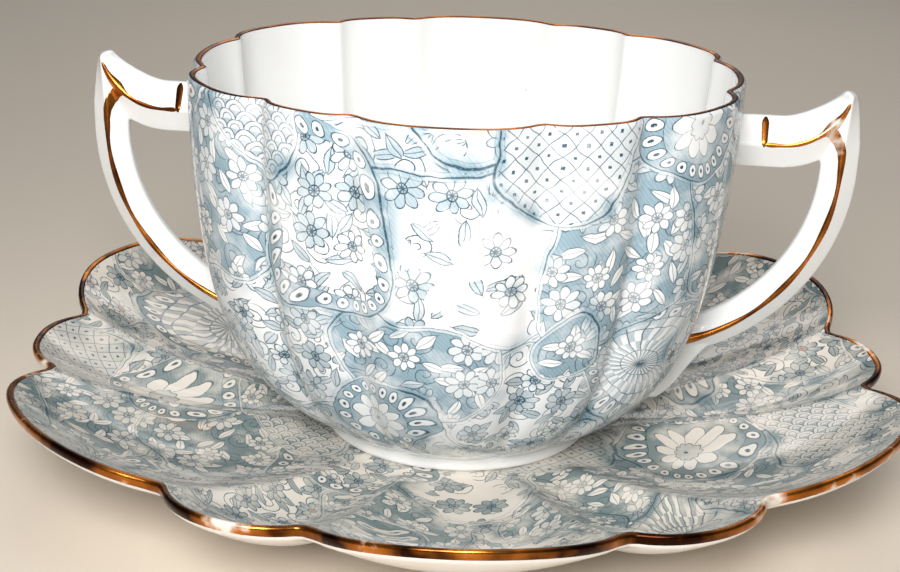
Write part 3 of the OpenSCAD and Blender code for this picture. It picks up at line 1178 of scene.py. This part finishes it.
@dataclass
class Cup:
    """The fluted bowl with its foot, lip and two handles, in millimetres."""

    rim: float = 48.4
    height: float = 64.9
    stands_at: float = 5.5
    wall: float = 2.2
    thin_over: float = 14.0
    lip: float = 0.8
    foot: float = 24.0
    foot_height: float = 2.5
    foot_width: float = 3.2
    belly_height: float = 10.0
    flare: float = 7.2
    flare_curve: float = 2.0
    crease: float = 3.1
    fullness: float = 3.4
    fade: float = 7.0
    row_crowding: float = 1.7
    film: float = 0.03
    print_low: float = 0.9
    print_arc: tuple[float, float] = (8.0, 58.0)
    print_girth: float = 44.0
    gilt_arc: tuple[float, float] = (58.0, 136.0)
    gilt_proud: float = 0.05
    gilt_ease: float = 0.15
    lobes: Lobes = Lobes(36.4, 20.6, 33.0, 2.5, 0.1, 0.35)

    @property
    def foot_top(self) -> float:
        """Height of the foot ring's top above the table."""
        return self.stands_at + self.foot_height

    @property
    def bowl_height(self) -> float:
        """Height of the bowl from its foot ring to its lip."""
        return self.height - self.foot_height

    def profile(self, h: Any) -> Any:
        """Gives the radius of the full flutes at a height above the foot ring."""
        return (self.foot + (self.rim - self.flare - self.foot) * (1 - np.exp(-h / self.belly_height))
                + self.flare * (1 - np.maximum(1 - h / self.bowl_height, 0) ** self.flare_curve))

    def root(self, h: Any) -> Any:
        """Gives the radius of the bowl where the handles stand, at a height above the foot ring."""
        sunk = self.crease * (1 - np.exp(-h / self.fade)) * (1 - self.lobes.shares()[SIDE_LOBE])
        return self.profile(h) - sunk

    def rule(self) -> ShapeRule:
        """Builds the rule that gives the bowl its flutes.

        Returns:
            The rule.
        """
        sizes = ("rim", "foot", "belly_height", "flare", "flare_curve", "bowl_height", "crease", "fullness",
                 "fade", "foot_top")
        return ShapeRule("fluted_bowl", ("direction", "bulge", "across", "high", "inset"),
                         {size: getattr(self, size) for size in sizes}, BOWL_LINES)

    def heights(self, count: int, low: float, high: float) -> np.ndarray:
        """Gives heights that lie closer together towards the belly."""
        return low + (high - low) * np.linspace(0, 1, count) ** self.row_crowding

    def shell_rows(self) -> dict[str, np.ndarray]:
        """Gives the rows from the foot up the outside, over the lip and down the inside.

        Returns:
            The fields of the rows.
        """
        start = self.bowl_height - self.lip
        outer, inner = self.heights(64, 0, start), self.heights(60, 0, start)[::-1]
        turn = np.radians(np.linspace(0, 180, 13))[1:-1]
        thick = 2 * self.lip + (self.wall - 2 * self.lip) * np.clip((start - inner) / self.thin_over, 0, 1)
        return {"high": np.concatenate([outer, start + self.lip * np.sin(turn), inner]),
                "inset": np.concatenate([np.zeros(len(outer)), self.lip * (1 - np.cos(turn)), thick])}

    def gilt_rows(self) -> dict[str, np.ndarray]:
        """Gives the rows of the gilt line, which lies proud of the lip in its middle.

        Returns:
            The fields of the rows.
        """
        arc = np.radians(np.linspace(*self.gilt_arc, 14))
        dome = np.sin(np.linspace(self.gilt_ease, math.pi - self.gilt_ease, 14))
        proud = self.lip + self.gilt_proud * dome
        return {"high": self.bowl_height - self.lip + proud * np.sin(arc),
                "inset": self.lip - proud * np.cos(arc)}

    def build(self, wear: Finishes) -> None:
        """Makes the bowl's pieces and hands them to the cup's body.

        Args:
            wear: The finishes.
        """
        rule = self.rule()
        bowl = self.lobes.ring(rule, "cup_china", self.shell_rows(), wear.china)
        self.close_floor(bowl)
        hand_over(close_shell(bowl), "cup", "printed_china", "cup_bowl")
        self.build_print(rule, wear)
        line = self.lobes.ring(rule, "cup_gilt_lip", self.gilt_rows(), wear.gilding)
        hand_over(face_up(line, UP), "cup", "gilding", "cup_rim_gilding")
        ring = foot_ring("cup_foot", self.foot, self.foot_width, self.stands_at, self.foot_top, wear.china)
        hand_over(ring, "cup", "white_china", "cup_foot_ring")

    def close_floor(self, bowl: bpy.types.Object) -> None:
        """Closes the open ends of the bowl's grid with fans to the axis.

        Args:
            bowl: The bowl as its grid left it.
        """
        cols = LOBE_COUNT * self.lobes.steps
        work = bmesh.new()
        work.from_mesh(bowl.data)
        work.verts.ensure_lookup_table()
        for ring in (work.verts[:cols], work.verts[-cols:]):
            middle = work.verts.new((0, 0, ring[0].co.z))
            for k in range(cols):
                work.faces.new((ring[k], ring[(k + 1) % cols], middle)).smooth = True
        work.to_mesh(bowl.data)
        work.free()

    def build_print(self, rule: ShapeRule, wear: Finishes) -> None:
        """Lays the transfer print on the flutes, a sheet to each.

        Args:
            rule: The rule that gives the shape under the print.
            wear: The finishes.
        """
        start = self.bowl_height - self.lip
        turn = np.radians(np.linspace(*self.print_arc, 6))
        wall = self.heights(64, self.print_low, start)
        high = np.concatenate([wall, start + self.lip * np.sin(turn)])
        inset = np.concatenate([np.zeros(len(wall)), self.lip * (1 - np.cos(turn))]) - self.film
        along = np.concatenate([[0], np.cumsum(np.hypot(np.diff(high), np.diff(self.profile(high))))])
        sheets = []
        for lobe in range(LOBE_COUNT):
            grid = spread_rows(self.lobes.columns(lobe), {"high": high, "inset": inset})
            turned = grid["direction"] - (2 * math.pi if lobe >= LOBE_COUNT // 2 else 0)
            flat = np.stack([turned * self.print_girth, np.tile(along[:, None], (1, turned.shape[1]))], -1)
            name = f"cup_print_{lobe + 1:02d}"
            sheets.append(print_sheet(name, rule, grid, flat, wear.cup_print, None))
        hand_over_print(sheets, "cup")


Spots = list[tuple[float, float, float]]
Faces = list[tuple[int, ...]]

# The gilt stroke from the horn into the loop, out from the loop's top and up from the arm, in millimetres.
GILT_CORNER = ((-3.0, 3.2), (-1.7, 2.2), (-0.7, 0.9), (-0.1, -0.6), (0.05, -2.2))

# Stations of the loop that lie in the horn.
HORN_ROWS = 9


def tube_faces(rings: int, sides: int) -> Faces:
    """Joins rings of points into a closed tube.

    Args:
        rings: How many rings there are.
        sides: Points to each ring.

    Returns:
        The faces, the two ends last.
    """
    faces = [(j + i, j + (i + 1) % sides, j + sides + (i + 1) % sides, j + sides + i)
             for j in range(0, (rings - 1) * sides, sides) for i in range(sides)]
    return faces + [tuple(range(sides)), tuple(reversed(range((rings - 1) * sides, rings * sides)))]


@dataclass(frozen=True)
class Stroke:
    """A hand-painted stroke: its half width in millimetres, how that wavers, and its blobs of gold.

    The waves along the stroke and where they start are in radians. A blob has a place along the stroke,
    a reach, both as shares of its length, and an extra half width.
    """

    half: float
    shake: float
    waves: float
    begins: float
    blobs: tuple[tuple[float, float, float], ...]

    def widths(self, count: int) -> np.ndarray:
        """Gives the half widths along the stroke.

        Args:
            count: How many stations it has.

        Returns:
            A half width for each station.
        """
        share = np.linspace(0, 1, count)
        wide = self.half + self.shake * np.sin(share * self.waves + self.begins)
        for place, reach, more in self.blobs:
            wide = wide + more * np.exp(-((share - place) / reach) ** 2)
        return wide


ARM_STROKE = Stroke(0.38, 0.07, 17, 0, ((0.74, 0.1, 0.6),))
LOOP_STROKE = Stroke(0.47, 0.1, 23, 1, ((0.97, 0.06, 0.55), (0, 0.07, 0.5)))


@dataclass
class Handle:
    """One looped handle with its horn, tail and gilt lines, in millimetres; the left one is its mirror."""

    cup: Cup
    mirrored: bool
    out: float = 14.4
    root_height: float = 18.6
    loop_width: float = 6.2
    arm_drop: float = 10.4
    bend_drop: float = 4.0
    arm_width: float = 8.8
    horn: float = 8.2
    horn_lean: float = 0.5
    horn_sweep: float = 11.0
    horn_width: float = 2.6
    horn_taper: float = 3.0
    tip: float = 0.9
    thick: float = 6.4
    edge: float = 1.6
    crest: float = 0.18
    root_sunk: float = 1.8
    run_in: float = 5.0
    horn_swell: float = 0.8
    tail_height: float = 6.5
    tail_width: float = 6.0
    tail_proud: float = 6.0
    tail_sunk: float = 2.2
    tail_waist: float = 0.2
    tail_narrow: float = 0.6
    tail_crest: float = 0.5
    bar_half: float = 0.5
    bar_widen: float = 0.04
    bar_below: float = 0.4
    bar_short: float = 0.15
    bar_gap: float = 3.4
    line_gap: float = 0.6
    gilt_step: float = 0.3
    gilt_dome: float = 0.08
    gilt_film: float = 0.015
    gilt_tuck: float = 0.05
    buried: float = 1.0
    cell: float = 0.24
    ease: float = 0.5
    ease_rounds: int = 9

    @property
    def side(self) -> str:
        """Which side of the cup the handle is on."""
        return "left" if self.mirrored else "right"

    @property
    def flip(self) -> int:
        """The sign of the handle's reach."""
        return -1 if self.mirrored else 1

    def paths(self) -> tuple[np.ndarray, np.ndarray]:
        """Gives the stations of the arm and of the loop.

        Returns:
            Two arrays, each with reach, height, heading in radians and width.
        """
        cup = self.cup
        rim_z = cup.stands_at + cup.height
        arm_z, reach = rim_z - self.arm_drop, cup.rim + self.out
        bend_z, root_z = arm_z - self.bend_drop, cup.stands_at + self.root_height
        sweep = math.acos(1 - self.horn / self.horn_sweep)
        start = reach + self.horn_lean - self.horn_sweep * math.sin(sweep)
        share = np.linspace(0, 1, 28)
        a = share * sweep
        arm = np.stack([start + self.horn_sweep * np.sin(a), arm_z + self.horn_sweep * (1 - np.cos(a)), a,
                        self.arm_width + (self.horn_width - self.arm_width) * share ** self.horn_taper], 1)
        root = [cup.root(arm_z - cup.foot_top) - self.root_sunk, arm_z, 0, self.arm_width]
        arm = np.vstack([[root], arm])
        inward = reach - cup.root(root_z - cup.foot_top)
        turn = 2 * math.atan(inward / (bend_z - root_z))
        radius = inward / (1 - math.cos(turn))
        b = np.linspace(0, turn, 48)
        loop = np.stack([reach - radius * (1 - np.cos(b)), bend_z - radius * np.sin(b), -math.pi / 2 - b,
                         np.full(len(b), self.loop_width)], 1)
        heading = loop[-1, 2]
        end = loop[-1] + [self.run_in * math.cos(heading), self.run_in * math.sin(heading), 0, 0]
        rise = np.linspace(1, 0, HORN_ROWS)[:, None]
        swell = self.horn_width + (self.loop_width - self.horn_width) * (1 - rise) ** self.horn_swell
        top = np.hstack([reach + (arm[-1, 0] - reach) * rise, arm_z + (arm[-1, 1] - arm_z) * rise,
                         np.full_like(rise, -math.pi / 2), swell])
        return arm, np.vstack([top, loop, [end]])

    def sweep(self, stations: np.ndarray) -> tuple[Spots, Faces]:
        """Sweeps the ridged section along stations into a closed tube.

        Args:
            stations: Reach, height, heading and width of each.

        Returns:
            Points and faces.
        """
        spots: Spots = []
        for x, z, heading, w in stations:
            blunt = min(1.0, math.sqrt(w / self.horn_width))
            low, high = self.edge / 2 * blunt, self.thick / 2 * blunt
            half = [(w / 2, -low), (self.crest, -high), (-self.crest, -high), (-w / 2, -low)]
            section = half + [(p, -q) for p, q in reversed(half)]
            spots += [(x - p * math.sin(heading), q, z + p * math.cos(heading)) for p, q in section]
        return spots, tube_faces(len(stations), len(section))

    def rounded(self, stations: np.ndarray, first: bool) -> np.ndarray:
        """Rounds off the end of stations that lies at the horn's tip.

        Args:
            stations: The arm's or the loop's stations.
            first: Whether the tip is at the first one, not the last.

        Returns:
            The stations with those of the rounded end.
        """
        x, z, heading, width = stations[0 if first else -1]
        way = heading + (math.pi if first else 0)
        out = np.array([0.5, 0.8, 0.95])
        cap = np.stack([x + self.tip * out * math.cos(way), z + self.tip * out * math.sin(way),
                        np.full(len(out), heading), width * np.sqrt(1 - out * out)], 1)
        return np.vstack([cap[::-1], stations] if first else [stations, cap])

    def tail(self) -> tuple[Spots, Faces]:
        """Lays the tail on the bowl below the loop.

        Returns:
            Points and faces.
        """
        cup = self.cup
        top = cup.stands_at + self.root_height + self.loop_width / 2
        end = cup.stands_at + self.tail_height
        spots: Spots = []
        places = np.linspace(0, 1, 22)
        for t in places:
            z = top + (end - top) * t
            r = cup.root(z - cup.foot_top)
            w = self.tail_width * (1 - self.tail_narrow * t * t) / 2
            proud = self.tail_proud * (1 - self.tail_waist * math.sin(math.pi * t) ** 2)
            half = [(r - self.tail_sunk, w, z), (r, w, z), (r + proud, self.tail_crest * w, z)]
            section = half + [(x, -y, z) for x, y, z in reversed(half)]
            spots += section
        return spots, tube_faces(len(places), len(section))

    def build(self, wear: Finishes) -> None:
        """Makes the handle and hands it to the cup's body.

        Args:
            wear: The finishes.
        """
        arm, loop = self.paths()
        parts = (self.sweep(self.rounded(arm, False)), self.sweep(self.rounded(loop, True)), self.tail())
        spots: Spots = []
        faces: Faces = []
        for more, sides in parts:
            faces += [tuple(i + len(spots) for i in f) for f in sides]
            spots += more
        mesh = bpy.data.meshes.new(f"{self.side}_handle")
        mesh.from_pydata([(self.flip * x * MM, y * MM, z * MM) for x, y, z in spots], [], faces)
        mesh.materials.append(wear.china)
        made = close_shell(piece(f"{self.side}_handle_china", mesh))
        fuse = made.modifiers.new("fuse", "REMESH")
        fuse.mode, fuse.voxel_size = "VOXEL", self.cell * MM
        ease = made.modifiers.new("ease", "SMOOTH")
        ease.factor, ease.iterations = self.ease, self.ease_rounds
        made = plain(made)
        self.trim_root(made)
        hand_over(made, "cup", "white_china", f"{self.side}_handle")
        self.gild(wear, made)

    def gilt_strips(self) -> list[np.ndarray]:
        """Gives the stations of the hand-painted gilt strokes.

        Returns:
            An array for each stroke, with reach, height and half width.
        """
        arm, loop = self.paths()
        arm_z = arm[0, 1]
        first = self.cup.root(arm_z - self.cup.foot_top) + self.bar_gap + self.line_gap
        line = np.vstack([[[x, arm_z] for x in np.linspace(first, arm[1, 0], 10)[:-1]], arm[1:-1, :2]])
        down = np.vstack([np.array(GILT_CORNER) + [self.cup.rim + self.out, arm_z], loop[HORN_ROWS:-1, :2]])
        bar_z = np.linspace(arm_z - self.bar_below, arm_z + self.arm_width / 2 - self.bar_short, 10)
        wide = self.bar_half + self.bar_widen * (bar_z - bar_z[0])
        bar = np.stack([np.full(len(bar_z), first), bar_z, wide], 1)
        strokes = ((line, ARM_STROKE), (down, LOOP_STROKE))
        return [np.column_stack([path, kind.widths(len(path))]) for path, kind in strokes] + [bar]

    def gild(self, wear: Finishes, china: bpy.types.Object) -> None:
        """Lays the gilt strokes on both faces of the handle.

        Args:
            wear: The finishes.
            china: The handle that they lie on.
        """
        spots, faces, lifts, ways = [], [], [], []
        across = np.linspace(-1, 1, 13)
        n = len(across)
        domes = self.gilt_dome * (1 - across ** 2)
        films = self.gilt_film - self.gilt_tuck * (np.abs(across) > 0.99)
        for way in (-1, 1):
            for strip in self.gilt_strips():
                strip = respace(strip, self.gilt_step)
                run = np.gradient(strip[:, :2], axis=0)
                run /= np.linalg.norm(run, axis=1, keepdims=True)
                count, base = len(strip), len(spots)
                # The ends round off over three stations.
                step = np.arange(count)
                blunt = np.sqrt(np.clip(np.minimum(step + 0.3, count - 0.7 - step) / 3, 0, 1))
                for (x, z, half), (dx, dz), end in zip(strip, run, blunt):
                    reach = across * half * end
                    spots += [(self.flip * (x - dz * r) * MM, way * STAND_OFF * MM, (z + dx * r) * MM)
                              for r in reach]
                    lifts += list(domes * end + films)
                    ways += [-way] * n
                faces += [(k + i, k + i + 1, k + n + i + 1, k + n + i)
                          for k in range(base, base + (count - 1) * n, n) for i in range(n - 1)]
        mesh = bpy.data.meshes.new("strokes")
        mesh.from_pydata(spots, [], faces)
        carry(mesh, "lift", lifts)
        carry(mesh, "way", ways)
        made = lay_on(f"{self.side}_handle_gilt", mesh, china, wear.gilding)
        for face in made.data.polygons:
            if face.normal.y * face.center.y < 0:
                face.flip()
        hand_over(made, "cup", "gilding", f"{self.side}_handle_gilding")

    def trim_root(self, made: bpy.types.Object) -> None:
        """Draws the buried ends back into the bowl's wall, so that none shows inside the cup.

        Args:
            made: The handle.
        """
        cup = self.cup
        for v in made.data.vertices:
            keep = cup.root(max(v.co.z / MM - cup.foot_top, 0.0)) - self.buried
            r = math.hypot(v.co.x, v.co.y) / MM
            if r < keep:
                v.co.x *= keep / r
                v.co.y *= keep / r


def respace(line: np.ndarray, gap: float) -> np.ndarray:
    """Spaces the stations of a line evenly.

    Args:
        line: The stations, each with its place as its first two numbers.
        gap: About how far apart they come to lie.

    Returns:
        The new stations.
    """
    steps = np.concatenate([[0], np.cumsum(np.hypot(*np.diff(line[:, :2], axis=0).T))])
    even = np.linspace(0, steps[-1], max(int(steps[-1] / gap), 4) + 1)
    return np.stack([np.interp(even, steps, column) for column in line.T], 1)


def lay_on(name: str, mesh: bpy.types.Mesh, under: bpy.types.Object,
           material: bpy.types.Material) -> bpy.types.Object:
    """Drops a flat drawing along Y on another piece's surface.

    Args:
        name: The new piece's name.
        mesh: The drawing; its points carry "way", the direction of the drop, and "lift" in millimetres.
        under: The piece that it comes to lie on.
        material: Its finish.

    Returns:
        The drawing as a plain mesh on the surface.
    """
    tree = bpy.data.node_groups.new("gilt_strokes", "GeometryNodeTree")
    face = tree.interface
    face.new_socket("Geometry", in_out="OUTPUT", socket_type="NodeSocketGeometry")
    kinds = {"Geometry": "Geometry", "Surface": "Object", "Reach": "Float", "Material": "Material"}
    sockets = {}
    for key, kind in kinds.items():
        made = face.new_socket(key, in_out="INPUT", socket_type="NodeSocket" + kind)
        sockets[key] = made.identifier
    given = add(tree, "NodeGroupInput")
    surface = add(tree, "GeometryNodeObjectInfo", {"Object": given["Surface"]}, transform_space="RELATIVE")
    drop = add(tree, "ShaderNodeCombineXYZ", {"Y": named_field(tree, "way")})[0]
    ray = add(tree, "GeometryNodeRaycast", {"Target Geometry": surface["Geometry"], "Ray Direction": drop,
                                            "Ray Length": given["Reach"]})
    rise = formula(tree, "metres = lift * mm", {"lift": named_field(tree, "lift"), "mm": MM})["metres"]
    out = add(tree, "ShaderNodeVectorMath", {0: ray["Hit Normal"], "Scale": rise}, operation="SCALE")[0]
    spot = vector(tree, "ADD", ray["Hit Position"], out)
    moved = add(tree, "GeometryNodeSetPosition", {"Geometry": given["Geometry"], "Selection": ray["Is Hit"],
                                                  "Position": spot})[0]
    missed = add(tree, "FunctionNodeBooleanMath", {0: ray["Is Hit"]}, operation="NOT")[0]
    kept = add(tree, "GeometryNodeDeleteGeometry", {"Geometry": moved, "Selection": missed}, domain="POINT")
    close_tree(tree, kept[0], given["Material"])
    source = show(bpy.data.objects.new(name, mesh))
    rule = source.modifiers.new("gilt_strokes", "NODES")
    rule.node_group = tree
    for key, value in (("Surface", under), ("Reach", DROP_REACH * MM), ("Material", material)):
        rule[sockets[key]] = value
    return plain(source)


def plain(made: bpy.types.Object) -> bpy.types.Object:
    """Applies an object's modifiers to its mesh.

    Args:
        made: The object.

    Returns:
        The same object, with a plain mesh.
    """
    graph = bpy.context.evaluated_depsgraph_get()
    mesh = bpy.data.meshes.new_from_object(made.evaluated_get(graph), depsgraph=graph)
    made.modifiers.clear()
    old, made.data = made.data, mesh
    mesh.name = made.name
    bpy.data.meshes.remove(old)
    mesh.polygons.foreach_set("use_smooth", np.ones(len(mesh.polygons), bool))
    return made


@dataclass(frozen=True)
class SoftBox:
    """A square soft box: its middle and width in millimetres, its watts and its spread in degrees."""

    name: str
    place: tuple[float, float, float]
    width: float
    power: float
    spread: float = 180.0

    def hang(self, aim: Vector) -> None:
        """Hangs the box so that it looks at a point.

        Args:
            aim: The point, in millimetres.
        """
        lamp = bpy.data.lights.new(self.name, "AREA")
        lamp.shape, lamp.size, lamp.energy = "SQUARE", self.width * MM, self.power
        lamp.spread = math.radians(self.spread)
        made = show(bpy.data.objects.new(self.name, lamp))
        made.location = Vector(self.place) * MM
        made.rotation_euler = (aim - Vector(self.place)).to_track_quat("-Z", "Y").to_euler()


@dataclass(frozen=True)
class Studio:
    """A pale floor, soft light and the photograph's camera; lengths in millimetres."""

    eye: tuple[float, float, float] = (27.75, -252.75, 120.1)
    yaw: float = -0.1172
    pitch: float = 0.3395
    roll: float = 0.0319
    focal_px: float = 1517.7
    image_px: int = 900
    sensor: float = 36.0
    boxes: tuple[SoftBox, ...] = (
        SoftBox("front", (0, -290, 195), 120, 0.52, 110),
        SoftBox("ceiling", (80, 140, 740), 700, 1.35),
        SoftBox("back", (-60, 640, 540), 460, 1.0),
    )
    aim: tuple[float, float, float] = (0, 0, 45)
    room: str = "#eef0f2"
    room_light: float = 0.14
    floor: str = "#e0d4c4"
    floor_roughness: float = 0.75
    floor_reach: float = 3000.0

    def build(self) -> None:
        """Sets up camera, lights and floor."""
        self.camera()
        self.lights()
        self.ground()

    def camera(self) -> None:
        """Places the camera where the photograph was taken from."""
        level = math.cos(self.pitch)
        ahead = Vector((math.sin(self.yaw) * level, math.cos(self.yaw) * level, -math.sin(self.pitch)))
        right = Vector((math.cos(self.yaw), -math.sin(self.yaw), 0))
        up = right.cross(ahead)
        across = math.cos(self.roll) * right + math.sin(self.roll) * up
        rise = -math.sin(self.roll) * right + math.cos(self.roll) * up
        lens = bpy.data.cameras.new("photo_view")
        lens.sensor_fit, lens.sensor_width = "HORIZONTAL", self.sensor
        lens.lens = self.focal_px / self.image_px * self.sensor
        lens.clip_start, lens.clip_end = 0.01, 20.0
        camera = show(bpy.data.objects.new("photo_view", lens))
        turn = Matrix((across, rise, -ahead)).transposed().to_4x4()
        camera.matrix_world = Matrix.Translation(Vector(self.eye) * MM) @ turn
        bpy.context.scene.camera = camera

    def lights(self) -> None:
        """Hangs the soft boxes and sets the room's light."""
        for box in self.boxes:
            box.hang(Vector(self.aim))
        world = bpy.data.worlds.new("room")
        bpy.context.scene.world = world
        world.use_nodes = True
        plug(world.node_tree, world.node_tree.nodes["Background"], {"Color": linear(self.room),
                                                                    "Strength": self.room_light})
        bpy.context.scene.view_settings.view_transform = "Standard"

    def ground(self) -> None:
        """Lays the plain floor."""
        mat = new_material("plain_floor")
        plug(mat.node_tree, mat.node_tree.nodes["Principled BSDF"], {"Base Color": linear(self.floor),
                                                                     "Roughness": self.floor_roughness})
        far = self.floor_reach * MM
        mesh = bpy.data.meshes.new("floor")
        corners = [(-far, -far, 0), (far, -far, 0), (far, far, 0), (-far, far, 0)]
        mesh.from_pydata(corners, [], [(0, 1, 2, 3)])
        mesh.materials.append(mat)
        show(bpy.data.objects.new("floor", mesh))


def finishes(cup: Cup) -> Finishes:
    """Makes the materials.

    Args:
        cup: The cup, which sets the width of its print's tile.

    Returns:
        The materials.
    """
    china = BoneChina()
    cup_tile = 2 * math.pi * cup.print_girth / CUP_TILES
    on_cup = TransferPrint(china, "transfer_print_on_cup", (cup_tile, TILE_HEIGHT), plate=0.04,
                           body="#f2f2f1", wash="#8aa4b0")
    on_saucer = TransferPrint(china, "transfer_print_on_saucer", (SAUCER_TILE, TILE_HEIGHT), plate=0.12,
                              body="#eae0d3", wash="#788786")
    # The saucer band's near-black deep brown is painted dark reflection; its heavier wear is real rubbing.
    rubbed = Gilding("rubbed_gilding", deep="#2e160c", wear=0.36)
    return Finishes(china.material(), on_cup.material(), on_saucer.material(), Gilding().material(),
                    rubbed.material())


def main() -> None:
    """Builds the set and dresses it."""
    logging.basicConfig(level=logging.INFO, format="%(name)s %(message)s")
    cup = Cup()
    wear = finishes(cup)
    Saucer().build(wear)
    cup.build(wear)
    for mirrored in (True, False):
        Handle(cup, mirrored).build(wear)
    Studio().build()



if __name__ == "__main__":
    main()
